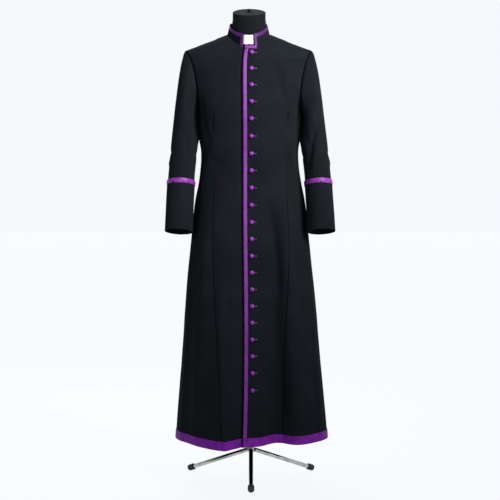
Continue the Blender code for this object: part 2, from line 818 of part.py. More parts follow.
def add_buttons(front):
    tree = BVHTree.FromObject(front, bpy.context.evaluated_depsgraph_get())
    for number in range(1, BUTTONS + 1):
        height = smooth_value(BUTTON_STATIONS, "number", "height", number)
        rise = height if height <= CHEST else yoke_rise(height)
        across = BUTTON_X - lean_at(height)
        turn = turn_of(across / half_width(rise), "front")
        point, normal, _ = body_frame(turn, rise)
        hit, face_normal, _, _ = tree.ray_cast(point + normal * 0.05, -normal)
        bm = spun(BUTTON_PROFILE, BUTTON_SIDES)
        turned = face_normal.to_track_quat("Z", "Y").to_matrix().to_4x4()
        place = Matrix.Translation(hit + face_normal * BUTTON_GAP) @ turned
        bmesh.ops.transform(bm, matrix=place, verts=bm.verts[:])
        add_piece(f"button_{number:02d}", bm, "purple_trim", smooth=True)


def yoke_rise(height):
    """Rise above the chest at which the middle of the front is at this height."""
    ridge = TIP_HEIGHT + SHOULDER_SLOPE * TIP_HALF
    return rise_of(math.degrees(math.asin((height - CHEST) / (ridge - CHEST))))


def oval_ring(bm, sides, half, front, back, height, shift_x, shift_y, roundness):
    ring = []
    for n in range(sides):
        across, ahead = round_share(360.0 * n / sides, roundness)
        depth = front if ahead >= 0 else back
        ring.append(bm.verts.new((half * across + shift_x, shift_y - depth * ahead, height)))
    return ring


def join_rings(bm, rings):
    """Bridge each ring to the next and close both ends."""
    loops = [[bm.edges.new((ring[n - 1], ring[n])) for n in range(len(ring))] for ring in rings]
    for low, high in zip(loops, loops[1:]):
        bmesh.ops.bridge_loops(bm, edges=low + high)
    bm.faces.new(rings[0])
    bm.faces.new(rings[-1])


def add_form():
    bm = bmesh.new()
    rings = [oval_ring(bm, FORM_SIDES, s.half, s.front, s.back, s.height, lean_at(s.height), 0.0,
                       FORM_ROUNDNESS) for s in FORM]
    join_rings(bm, rings)
    add_piece("form_torso", bm, "form_cover", smooth=True)

    bm = bmesh.new()
    shift = lean_at(NECK_CAP_HEIGHT) + NECK_SIDE
    rings = [oval_ring(bm, NECK_SIDES, t.radius, t.radius * NECK_DEPTH, t.radius * NECK_DEPTH,
                       t.height, shift, -NECK_FORWARD, 2.0) for t in NECK]
    tilt = Matrix.Rotation(math.radians(NECK_CAP_TILT), 4, "X")
    centre = Vector((shift, -NECK_FORWARD, NECK_CAP_HEIGHT))
    for inset in (0.0, NECK_RIM):
        radius = NECK[-1].radius - inset
        depth = radius * NECK_DEPTH
        ring = oval_ring(bm, NECK_SIDES, radius, depth, depth, inset / 2, 0.0, 0.0, 2.0)
        for vert in ring:
            slanted = tilt @ vert.co
            vert.co = centre + Vector((vert.co.x, vert.co.y, slanted.z))
        rings.append(ring)
    join_rings(bm, rings)
    add_piece("form_neck", bm, "form_cover", smooth=True)

    profile = ((0.0, 0.0), (STUB_RADIUS, 0.0), (STUB_RADIUS, STUB_HEIGHT * 0.6),
               (STUB_RADIUS * 0.6, STUB_HEIGHT), (0.0, STUB_HEIGHT))
    bm = spun(profile, NECK_SIDES // 2)
    rise = Vector((0.0, 0.0, NECK_RIM / 2 + GAP))
    place = Matrix.Translation(centre + rise) @ tilt
    bmesh.ops.transform(bm, matrix=place, verts=bm.verts[:])
    add_piece("form_stub", bm, "form_cover", smooth=True)


def add_rod(name, start, end, radius, finish):
    """A round bar with bevelled ends between two points."""
    bm = bmesh.new()
    length = (end - start).length
    bmesh.ops.create_cone(bm, cap_ends=True, segments=ROUND_SIDES, radius1=radius, radius2=radius,
                          depth=length)
    turned = (end - start).to_track_quat("Z", "Y").to_matrix().to_4x4()
    bmesh.ops.transform(bm, matrix=Matrix.Translation((start + end) / 2) @ turned, verts=bm.verts[:])
    return add_piece(name, bm, finish, smooth=True)


def add_stand():
    pole_top = Vector((0.0, 0.0, FORM[0].height - GAP))
    add_rod("pole", Vector((0.0, 0.0, HUB_HIGH + GAP)), pole_top, POLE_RADIUS, "chrome")
    profile = ((0.0, HUB_LOW), (HUB_RADIUS * 0.7, HUB_LOW), (HUB_RADIUS, HUB_LOW + 0.006),
               (HUB_RADIUS, HUB_HIGH - 0.005), (HUB_RADIUS * 0.8, HUB_HIGH), (0.0, HUB_HIGH))
    add_piece("hub", spun(profile, ROUND_SIDES), "chrome", smooth=True)
    for number, angle in enumerate(LEG_ANGLES, start=1):
        way = Vector((math.cos(math.radians(angle)), math.sin(math.radians(angle)), 0.0))
        start = way * LEG_START + Vector((0.0, 0.0, LEG_HIGH))
        slope = (way * FOOT_REACH + Vector((0.0, 0.0, FOOT_RADIUS)) - start).normalized()
        profile = ((0.0, 0.0), (FOOT_RADIUS * 0.60, 0.0005), (FOOT_RADIUS * 0.88, 0.0028),
                   (FOOT_RADIUS, 0.0070), (FOOT_RADIUS, FOOT_LENGTH - 0.0015),
                   (FOOT_RADIUS * 0.92, FOOT_LENGTH), (0.0, FOOT_LENGTH))
        bm = spun(profile, ROUND_SIDES)
        turned = (-slope).to_track_quat("Z", "Y").to_matrix().to_4x4()
        bmesh.ops.transform(bm, matrix=turned, verts=bm.verts[:])
        reach = max(v.co.dot(way) for v in bm.verts)
        low = min(v.co.z for v in bm.verts)
        place = way * (FOOT_REACH - reach) + Vector((0.0, 0.0, -FOOT_PRESS - low))
        bmesh.ops.translate(bm, vec=place, verts=bm.verts[:])
        cut = bmesh.ops.bisect_plane(bm, geom=bm.verts[:] + bm.edges[:] + bm.faces[:],
                                     plane_co=(0.0, 0.0, 0.0), plane_no=(0.0, 0.0, -1.0),
                                     clear_outer=True)["geom_cut"]
        rim = [e for e in cut if isinstance(e, bmesh.types.BMEdge)]
        bmesh.ops.contextual_create(bm, geom=rim)
        bmesh.ops.recalc_face_normals(bm, faces=bm.faces[:])
        add_piece(f"foot_{number}", bm, "rubber", smooth=True)
        end = place - slope * (FOOT_LENGTH + GAP)
        add_rod(f"leg_{number}", start, end, LEG_RADIUS, "chrome")


def centre_on_origin():
    """Slide every piece so that the middle of the whole box's floor is the origin."""
    corners = [v.co for item in bpy.data.objects for v in item.data.vertices]
    middle = Vector((
        (min(c.x for c in corners) + max(c.x for c in corners)) / 2,
        (min(c.y for c in corners) + max(c.y for c in corners)) / 2,
        min(c.z for c in corners),
    ))
    for item in bpy.data.objects:
        item.data.transform(Matrix.Translation(-middle))


clear_scene()
PANELS = add_panels()
add_hem_band()
add_front_piping()
for SIDE, NAME in ((1, "left"), (-1, "right")):
    add_sleeve(SIDE, NAME)
add_collar()
add_tab()
add_buttons(PANELS["front_left"])
add_form()
add_stand()
centre_on_origin()
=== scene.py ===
"""Looks of a black cassock with purple edging, worn by a dress form on a stand.

Metres, +Z up, the front of the garment towards -Y, the wearer's left towards +X. The
sections follow the way it is put together: studio, cloth, body, edging, sleeves,
collar, buttons, dress form and stand.
"""
import math
from collections import namedtuple

import bmesh
import bpy
from mathutils import Matrix, Vector, kdtree, noise
from mathutils.bvhtree import BVHTree


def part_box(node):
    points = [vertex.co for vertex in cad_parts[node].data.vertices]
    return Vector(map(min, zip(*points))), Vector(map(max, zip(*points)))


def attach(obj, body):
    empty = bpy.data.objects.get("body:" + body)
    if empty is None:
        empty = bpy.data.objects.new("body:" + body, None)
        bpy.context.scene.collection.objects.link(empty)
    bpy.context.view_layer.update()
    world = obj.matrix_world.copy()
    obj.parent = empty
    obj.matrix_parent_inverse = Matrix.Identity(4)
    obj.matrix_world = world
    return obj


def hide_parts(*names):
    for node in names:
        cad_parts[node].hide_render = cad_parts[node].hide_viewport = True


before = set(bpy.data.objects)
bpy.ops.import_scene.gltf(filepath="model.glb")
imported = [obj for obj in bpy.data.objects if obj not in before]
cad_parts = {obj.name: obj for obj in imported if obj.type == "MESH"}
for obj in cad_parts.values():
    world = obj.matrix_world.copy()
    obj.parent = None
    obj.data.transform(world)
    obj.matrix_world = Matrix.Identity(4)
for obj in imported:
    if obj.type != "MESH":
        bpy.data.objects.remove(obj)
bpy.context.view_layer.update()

# ------------------------------
# Studio: a pale floor that meets a sky of the same tone, one soft light from above on
# the wearer's left, one from behind that rims the cloth, and a long lens.
POLE_LOW, POLE_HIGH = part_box("pole")
AXIS = Vector(((POLE_LOW.x + POLE_HIGH.x) / 2, (POLE_LOW.y + POLE_HIGH.y) / 2, 0.0))
BACKGROUND = (0.922, 0.939, 0.965)
FLOOR_TONE = 0.02
FLOOR_GLOW = 0.965
FLOOR_ROUGHNESS = 0.9
FLOOR_SHINE = 0.1
FLOOR_RADIUS = 60.0
CAMERA_DISTANCE = 4.6
CAMERA_HEIGHT = 0.93
CAMERA_SIDE = -0.0035
CAMERA_TILT = 1.62
LENS = 94.6
Lamp = namedtuple("Lamp", "name place target size spread power tint")
LAMPS = (
    Lamp("key", (1.45, -1.75, 2.50), (0.02, -0.1, 1.45), 1.2, 46.0, 27.0, (1.0, 0.985, 0.96)),
    Lamp("rim", (-0.5, 2.9, 2.4), (0.0, 0.0, 0.95), 1.6, 180.0, 80.0, (0.95, 0.97, 1.0)),
)


def add_studio():
    """Sky, floor, lights and camera."""
    scene = bpy.context.scene
    scene.view_settings.view_transform = "Standard"
    world = bpy.data.worlds.new("sky")
    world.use_nodes = True
    world.node_tree.nodes["Background"].inputs["Color"].default_value = (*BACKGROUND, 1.0)
    scene.world = world

    bm = bmesh.new()
    bmesh.ops.create_circle(bm, cap_ends=True, segments=96, radius=FLOOR_RADIUS)
    mesh = bpy.data.meshes.new("floor")
    bm.to_mesh(mesh)
    bm.free()
    floor = bpy.data.objects.new("floor", mesh)
    scene.collection.objects.link(floor)
    pale = bpy.data.materials.new("floor_pale")
    pale.use_nodes = True
    shader = pale.node_tree.nodes["Principled BSDF"]
    shader.inputs["Base Color"].default_value = (*(FLOOR_TONE * c for c in BACKGROUND), 1.0)
    shader.inputs["Roughness"].default_value = FLOOR_ROUGHNESS
    shader.inputs["Specular IOR Level"].default_value = FLOOR_SHINE
    shader.inputs["Emission Color"].default_value = (*BACKGROUND, 1.0)
    shader.inputs["Emission Strength"].default_value = FLOOR_GLOW
    mesh.materials.append(pale)

    for lamp in LAMPS:
        light = bpy.data.lights.new(lamp.name, "AREA")
        light.size = lamp.size
        light.spread = math.radians(lamp.spread)
        light.energy = lamp.power
        light.color = lamp.tint
        stand = bpy.data.objects.new(lamp.name, light)
        stand.location = lamp.place
        aim = Vector(lamp.target) - Vector(lamp.place)
        stand.rotation_euler = aim.to_track_quat("-Z", "Y").to_euler()
        scene.collection.objects.link(stand)

    camera = bpy.data.cameras.new("camera")
    camera.lens = LENS
    eye = bpy.data.objects.new("camera", camera)
    eye.location = (AXIS.x + CAMERA_SIDE, AXIS.y - CAMERA_DISTANCE, CAMERA_HEIGHT)
    eye.rotation_euler = (math.radians(90.0 - CAMERA_TILT), 0.0, 0.0)
    scene.collection.objects.link(eye)
    scene.camera = eye


add_studio()


# ------------------------------
# Cloth finishes: a black wool-blend twill with a faint nap, and a purple satin. The
# weave follows each piece's own cut, through its UV map in metres.
TWILL_PITCH = 0.0019
TWILL_RELIEF = 0.00012
SEAM_LINE = (0.0004, 0.0021)
PAINTED_SHADE_SHARE = 0.96
SATIN_PITCH = 0.0011
SATIN_RELIEF = 0.00010
STITCH_ROW = (0.0010, 0.0014, 0.0018, 0.0022)
STITCH_PITCH = 0.0026


class Value:
    """A node's output as a number: each arithmetic step adds a Math node."""

    def __init__(self, surface, output):
        self.surface = surface
        self.output = output

    def step(self, operation, *terms):
        settings = {"operation": operation}
        return self.surface.node("ShaderNodeMath", settings, dict(enumerate(terms)))

    def __add__(self, other):
        return self.step("ADD", self, other)

    def __sub__(self, other):
        return self.step("SUBTRACT", self, other)

    def __rsub__(self, other):
        return self.step("SUBTRACT", other, self)

    def __mul__(self, other):
        return self.step("MULTIPLY", self, other)

    __radd__ = __add__
    __rmul__ = __mul__

    def wave(self, length):
        """A 0 to 1 wave that repeats at this length."""
        return self.step("SINE", self * (math.tau / length)) * 0.5 + 0.5

    def between(self, low, high):
        """0 below low, 1 above high, and smooth between them."""
        settings = {"interpolation_type": "SMOOTHSTEP"}
        return self.surface.node("ShaderNodeMapRange", settings, {0: self, 1: low, 2: high})


class Surface:
    """A material on a Principled shader, built node by node."""

    def __init__(self, name, **finish):
        self.material = bpy.data.materials.new(name)
        self.material.use_nodes = True
        self.tree = self.material.node_tree
        self.shader = self.tree.nodes["Principled BSDF"]
        for socket, value in finish.items():
            self.shader.inputs[socket.replace("_", " ")].default_value = value

    def node(self, kind, settings=None, inputs=None, output=0):
        made = self.tree.nodes.new(kind)
        for key, value in (settings or {}).items():
            setattr(made, key, value)
        for socket, value in (inputs or {}).items():
            self.feed(made.inputs[socket], value)
        return Value(self, made.outputs[output])

    def feed(self, socket, value):
        if isinstance(value, Value):
            self.tree.links.new(value.output, socket)
        else:
            socket.default_value = value

    def place(self):
        """Where a point lies on the whole object, in metres."""
        return self.node("ShaderNodeTexCoord", None, None, "Object")

    def split(self, vector):
        """The three parts of a vector."""
        parts = self.node("ShaderNodeSeparateXYZ", None, {0: vector}).output.node.outputs
        return [Value(self, part) for part in parts]

    def cut(self):
        """Places across and along the cut, in metres, and both as one vector."""
        uv = self.node("ShaderNodeUVMap", {"uv_map": "cut"})
        across, along, _ = self.split(uv)
        return across, along, uv

    def noise(self, vector, scale, detail=2.0):
        inputs = {"Vector": vector, "Scale": scale, "Detail": detail}
        return self.node("ShaderNodeTexNoise", None, inputs)

    def stretched(self, vector, scale):
        return self.node("ShaderNodeMapping", None, {"Vector": vector, "Scale": scale})

    def attribute(self, name):
        return self.node("ShaderNodeAttribute", {"attribute_name": name}, None, "Fac")

    def blend(self, share, low, high):
        """A colour between two, by a 0 to 1 share."""
        inputs = {"Factor": share, 6: low, 7: high}
        return self.node("ShaderNodeMix", {"data_type": "RGBA"}, inputs, 2)

    def relief(self, height, depth):
        """Lay a height of 0 to 1 over the surface as bump, this many metres deep."""
        bump = self.node("ShaderNodeBump", None, {"Height": height, "Distance": depth})
        self.feed(self.shader.inputs["Normal"], bump)


def color(red, green, blue):
    """An opaque colour."""
    return (red, green, blue, 1.0)


def twill_material():
    """Black twill: diagonal ribs, uneven threads, no nap at seams, and painted shade where other
    parts hang against it.
    """
    black = Surface("black_twill", Sheen_Weight=0.02, Sheen_Roughness=0.5,
                    Sheen_Tint=color(0.62, 0.75, 0.86), Specular_IOR_Level=0.0)
    across, along, cut = black.cut()
    threads = black.noise(black.stretched(cut, (1500.0, 260.0, 1.0)), 1.0, 1.0)
    ribs = (across * 0.8 + along + threads * 0.0004).wave(TWILL_PITCH)
    patches = black.noise(cut, 9.0, 3.0)
    slubs = black.noise(black.stretched(cut, (900.0, 120.0, 1.0)), 1.0, 2.0)
    seam = black.attribute("seam")
    strength = black.attribute("seam_strength")
    line = (1.0 - seam.between(*SEAM_LINE)) * strength
    shade = patches * 0.5 + slubs * 0.35 + ribs * 0.25
    tone = black.blend(shade.between(0.25, 0.85), color(0.0024, 0.0031, 0.0041),
                       color(0.0056, 0.0067, 0.0083))
    # Painted shade: darker where sleeves and body hang against each other, and on the collar's
    # left side
    painted_shade = 1.0 - black.attribute("beside").between(0.0, 1.0)
    tone = black.blend(painted_shade * PAINTED_SHADE_SHARE, tone, color(0.0001, 0.0001, 0.0002))
    tone = black.blend(line, tone, color(0.0006, 0.0008, 0.0011))
    black.feed(black.shader.inputs["Base Color"], tone)
    black.feed(black.shader.inputs["Roughness"], 0.86 - ribs * 0.08)
    height = ribs * 0.5 + threads * 0.35 + slubs * 0.15 - line * 6.0
    black.relief(height, TWILL_RELIEF)
    return black.material


def satin_material(name, low, high, rough, shine=0.14, blotch_and_glint_scale=38.0):
    """Purple satin: fine cross ribs, soft sheen, and a row of stitches near each edge."""
    satin = Surface(name, Sheen_Weight=0.03, Sheen_Roughness=0.3,
                    Sheen_Tint=color(0.75, 0.4, 1.0), Specular_IOR_Level=shine)
    across, along, cut = satin.cut()
    ribs = along.wave(SATIN_PITCH)
    threads = satin.noise(satin.stretched(cut, (260.0, 1300.0, 1.0)), 1.0, 1.0)
    patches = satin.noise(cut, blotch_and_glint_scale, 2.0)
    edge = satin.attribute("edge")
    row = edge.between(*STITCH_ROW[:2]) * (1.0 - edge.between(*STITCH_ROW[2:]))
    stitches = row * (across + along).wave(STITCH_PITCH).between(0.25, 0.5)
    tone = satin.blend((patches * 0.7 + threads * 0.4).between(0.3, 0.8), low, high)
    tone = satin.blend(row * 0.35, tone, color(0.02, 0.003, 0.035))
    satin.feed(satin.shader.inputs["Base Color"], tone)
    satin.feed(satin.shader.inputs["Roughness"], rough + patches * 0.12 - threads * 0.06)
    satin.relief(ribs * 0.35 + threads * 0.4 + stitches * 1.2 - row * 1.6, SATIN_RELIEF)
    return satin.material


BLACK_TWILL = twill_material()
PURPLE_SATIN = satin_material("purple_satin", color(0.0515, 0.0043, 0.0850),
                              color(0.0850, 0.0085, 0.1310), 0.46)
# A lighter copy of the satin with finer blotches: painted mottled highlights on the cuff bands
CUFF_SATIN = satin_material("cuff_satin", color(0.046, 0.0036, 0.076),
                            color(0.140, 0.024, 0.190), 0.40, blotch_and_glint_scale=120.0)
HEM_SATIN = satin_material("hem_satin", color(0.064, 0.0036, 0.116),
                           color(0.102, 0.0074, 0.172), 0.55, shine=0.05)
# A darker copy of the same satin: painted shade on the collar binding
COLLAR_SATIN = satin_material("collar_satin", color(0.0205, 0.0015, 0.0340),
                              color(0.0410, 0.0038, 0.0640), 0.46, shine=0.08)


# ------------------------------
# Cloth grids: each cut piece is read back from its solid as one sheet of quads, the
# outer face of the wall, with rows that run up the piece and columns across it.
Grid = namedtuple("Grid", "bm width length area")
SHEET_LEVELS = 3
WELD = 0.00001
WALL_ERROR = 0.000004


def outer_sheet(node, wall, facing=None):
    """The outer face of a node's wall, still in triangles."""
    bm = bmesh.new()
    bm.from_mesh(bpy.data.objects[node].data)
    bmesh.ops.remove_doubles(bm, verts=bm.verts[:], dist=WELD)
    rim = [f for f in bm.faces if any(abs(e.calc_length() - wall) < WALL_ERROR for e in f.edges)]
    bmesh.ops.delete(bm, geom=rim, context="FACES")
    sheets = islands(bm)
    if facing:
        sheets.sort(key=lambda s: sum((f.normal * f.calc_area()).dot(Vector(facing)) for f in s))
    else:
        sheets.sort(key=lambda s: sum(f.calc_area() for f in s))
    unwanted = [f for sheet in sheets[:-1] for f in sheet]
    bmesh.ops.delete(bm, geom=unwanted, context="FACES")
    return bm


def islands(bm):
    """Faces of each connected part."""
    found = []
    seen = set()
    for face in bm.faces:
        if face in seen:
            continue
        part = []
        waiting = [face]
        while waiting:
            here = waiting.pop()
            if here in seen:
                continue
            seen.add(here)
            part.append(here)
            waiting += [f for e in here.edges for f in e.link_faces if f not in seen]
        found.append(part)
    return found


def quad_grid(bm):
    """Take the diagonal out of each cell, and sort the other edges into two ways."""
    ways = {}
    corner = next(v for v in bm.verts if len(v.link_faces) == 1)
    first = corner.link_faces[0]
    diagonal = next(e for e in first.edges if corner not in e.verts)
    for edge, way in zip((diagonal, *corner.link_edges), ("diagonal", "a", "b")):
        ways[edge] = way
    waiting = [first]
    done = {first}
    while waiting:
        face = waiting.pop()
        for edge in face.edges:
            for other in edge.link_faces:
                if other in done:
                    continue
                near = next(v for v in face.verts if v not in edge.verts)
                far = next(v for v in other.verts if v not in edge.verts)
                one, two = edge.verts
                for start, end in ((one, two), (two, one)):
                    here = next(e for e in face.edges if start in e.verts and near in e.verts)
                    there = next(e for e in other.edges if end in e.verts and far in e.verts)
                    ways[there] = ways[here]
                done.add(other)
                waiting.append(other)
    cuts = [e for e, way in ways.items() if way == "diagonal"]
    rises = {}
    for way in ("a", "b"):
        edges = [e for e, own in ways.items() if own == way]
        rises[way] = sum(abs(e.verts[0].co.z - e.verts[1].co.z) for e in edges) / sum(
            e.calc_length() for e in edges)
    across = min(rises, key=rises.get)
    flat = {e for e, way in ways.items() if way == across}
    bmesh.ops.dissolve_edges(bm, edges=cuts, use_verts=False, use_face_split=False)
    return corner, flat


def number_cells(bm, corner, flat):
    """Column and row of each point, rows counted upwards and columns towards +X."""
    start = corner.link_faces[0]
    along = next(e for e in corner.link_edges if e in flat)
    up = next(e for e in corner.link_edges if e not in flat)
    places = {corner: (0, 0), along.other_vert(corner): (1, 0), up.other_vert(corner): (0, 1)}
    places[next(v for v in start.verts if v not in places)] = (1, 1)
    waiting = [start]
    done = {start}
    while waiting:
        face = waiting.pop()
        for edge in face.edges:
            for other in edge.link_faces:
                if other in done:
                    continue
                done.add(other)
                waiting.append(other)
                for vert in edge.verts:
                    side = next(e for e in other.edges if vert in e.verts and e is not edge)
                    back = next(e for e in face.edges if vert in e.verts and e is not edge)
                    here = places[vert]
                    behind = places[back.other_vert(vert)]
                    places[side.other_vert(vert)] = (2 * here[0] - behind[0],
                                                     2 * here[1] - behind[1])
    columns = [p[0] for p in places.values()]
    rows = [p[1] for p in places.values()]
    low = min(columns), min(rows)
    high = max(columns) - low[0], max(rows) - low[1]
    places = {v: (c - low[0], r - low[1]) for v, (c, r) in places.items()}

    def tends(index, axis):
        middle = high[index] / 2
        return sum((p[index] - middle) * v.co[axis] for v, p in places.items()) > 0

    turn_rows = not tends(1, 2)
    turn_columns = not tends(0, 0)
    return {v: (high[0] - c if turn_columns else c, high[1] - r if turn_rows else r)
            for v, (c, r) in places.items()}, high


def cloth_grid(node, wall, facing=None):
    """A node's outer face as numbered quads, with its flat cut as a UV map in metres."""
    bm = outer_sheet(node, wall, facing)
    corner, flat = quad_grid(bm)
    places, (columns, rows) = number_cells(bm, corner, flat)
    at = {place: v for v, place in places.items()}
    spots = {}
    heights = [0.0]
    middle = columns // 2
    column_of_height = next(c for c in sorted(range(columns + 1), key=lambda c: abs(c - middle))
                            if all((c, r) in at for r in range(rows + 1)))
    for row in range(1, rows + 1):
        step = at[column_of_height, row].co - at[column_of_height, row - 1].co
        heights.append(heights[-1] + step.length)
    widest = 0.0
    for row in range(rows + 1):
        run = [0.0]
        for column in range(1, columns + 1):
            cell = 0.0
            if (column, row) in at and (column - 1, row) in at:
                cell = (at[column, row].co - at[column - 1, row].co).length
            run.append(run[-1] + cell)
        widest = max(widest, run[-1])
        for column in range(columns + 1):
            if (column, row) in at:
                spots[at[column, row]] = (run[column] - run[middle], heights[row])
    cut = bm.loops.layers.uv.new("cut")
    column_layer = bm.faces.layers.int.new("column")
    row_layer = bm.faces.layers.int.new("row")
    for face in bm.faces:
        face[column_layer] = min(places[v][0] for v in face.verts)
        face[row_layer] = min(places[v][1] for v in face.verts)
        for loop in face.loops:
            loop[cut].uv = spots[loop.vert]
    return Grid(bm, widest, heights[-1], sum(f.calc_area() for f in bm.faces))


def joined_cloth(grids, weld, on_trim=lambda one, other: False):
    """Sew grids into one mesh, so that the cloth is smooth across its seams.

    on_trim tells whether a trim's edge runs between two cells, where the smoothing
    may not shift the cloth; a cell is its panel's number, its column and its row.
    """
    whole = bpy.data.meshes.new("cloth")
    bm = bmesh.new()
    for number, grid in enumerate(grids):
        for face in grid.bm.faces:
            face.material_index = number
        part = bpy.data.meshes.new("part")
        grid.bm.to_mesh(part)
        bm.from_mesh(part)
        bpy.data.meshes.remove(part)
    bmesh.ops.remove_doubles(bm, verts=bm.verts[:], dist=weld)
    bmesh.ops.recalc_face_normals(bm, faces=bm.faces[:])
    crease = bm.edges.layers.float.new("crease_edge")
    cells = bm.faces.layers.int["column"], bm.faces.layers.int["row"]
    for edge in bm.edges:
        places = {(f.material_index, *(f[layer] for layer in cells)) for f in edge.link_faces}
        if len(places) == 2 and on_trim(*sorted(places)):
            edge[crease] = 1.0
    bm.to_mesh(whole)
    bm.free()
    return whole


def smoothed(mesh):
    """The same cloth with every cell divided along smooth curves."""
    item = bpy.data.objects.new("smoothing", mesh)
    bpy.context.scene.collection.objects.link(item)
    divide = item.modifiers.new("divide", "SUBSURF")
    divide.levels = SHEET_LEVELS
    divide.render_levels = SHEET_LEVELS
    divide.boundary_smooth = "PRESERVE_CORNERS"
    divide.uv_smooth = "PRESERVE_BOUNDARIES"
    view = bpy.context.evaluated_depsgraph_get()
    made = bpy.data.meshes.new_from_object(item.evaluated_get(view))
    bpy.data.objects.remove(item, do_unlink=True)
    bpy.data.meshes.remove(mesh)
    bm = bmesh.new()
    bm.from_mesh(made)
    bpy.data.meshes.remove(made)
    return bm


# ------------------------------
# Body: two fronts, two side fronts and two backs of black twill, sewn edge to edge.
# They hang from the shoulders as one cloth, so they are sewn first, then creased, and
# then parted at their seams again.
WALL = 0.002
CRISP = math.radians(50)
PANELS = {
    "front_left": (0, -1, 0),
    "front_right": (0, -1, 0),
    "side_front_left": (1, 0, 0),
    "side_front_right": (-1, 0, 0),
    "back_left": (0, 1, 0),
    "back_right": (0, 1, 0),
}
NEAR_SEAM = 0.0009
SEAM_DEPTH = 0.0009
UNEVEN_HANG = ((0.0014, 9, 4), (0.0005, 34, 17))
CREASE_FADE = 0.28

# Armholes: how far out and how high they lie, and how the cloth is drawn in at them
ARMHOLE_OUT = 0.125
ARMHOLE_LOW, ARMHOLE_HIGH = 1.25, 1.545
ARMHOLE_REACH = 0.004
BODY_SINK = 0.0020
SINK_WIDTH = 0.007
SINK_LOW, SINK_FADE = 1.325, 0.05

# Lap: the left front's edge stands up a little, and the right front dips beside it
LAP_COLUMNS = 2
LAP_UPRIGHT = 0.7
LAP_LIFT = 0.0016
LAP_LIFT_WIDTH = 0.008
LAP_PRESS = 0.0045
LAP_PRESS_LOW = 0.5
LAP_BESIDE = 0.002
LAP_WIDTH = 0.0065
LAP_SPREAD = 0.0060
LAP_LOW, LAP_FADE = 0.50, 0.30

# Painted shade: where the sleeves hang against the body, the cloth is painted darker
SLEEVE_NODES = [f"{kind}_{side}" for kind in ("upper_sleeve", "under_sleeve", "cuff")
                for side in ("left", "right")]
SHADE_TOUCH = 0.0015
SHADE_CORE = 0.0085
SHADE_NARROW = 0.003
SHADE_WIDE = 0.018
SHADE_TOP, SHADE_FADE = 1.37, 0.14
SHADE_LOW_FADE = 0.05

# Seams: the height below which each stretch shows, its fade, and how strongly
FRONT_OF_AXIS = 0.03
TICK_LOW, TICK_HIGH, TICK_FADE = 1.200, 1.272, 0.012
SKIRT_TOP, SKIRT_FADE = 0.96, 0.10
WAIST_TOP, WAIST_FADE = 1.19, 0.03
SEAM_SHOWS = {"armhole": 1.0, "back": 0.6, "tick": 1.2, "skirt": 1.25, "waist": 0.35,
              "least": 0.03}

# A crease seen square on from one face: across and up at its two ends, how far its
# middle bows sideways, its half width, and its height, negative for a trough
Crease = namedtuple("Crease", "face start end bow width height")
FACES = {
    "front": (Vector((0, -1, 0)), 0),
    "back": (Vector((0, 1, 0)), 0),
    "left": (Vector((1, 0, 0)), 1),
    "right": (Vector((-1, 0, 0)), 1),
}


def list_creases(**faces):
    """Creases from the rows given for each face."""
    return [Crease(face, *row) for face, rows in faces.items() for row in rows]


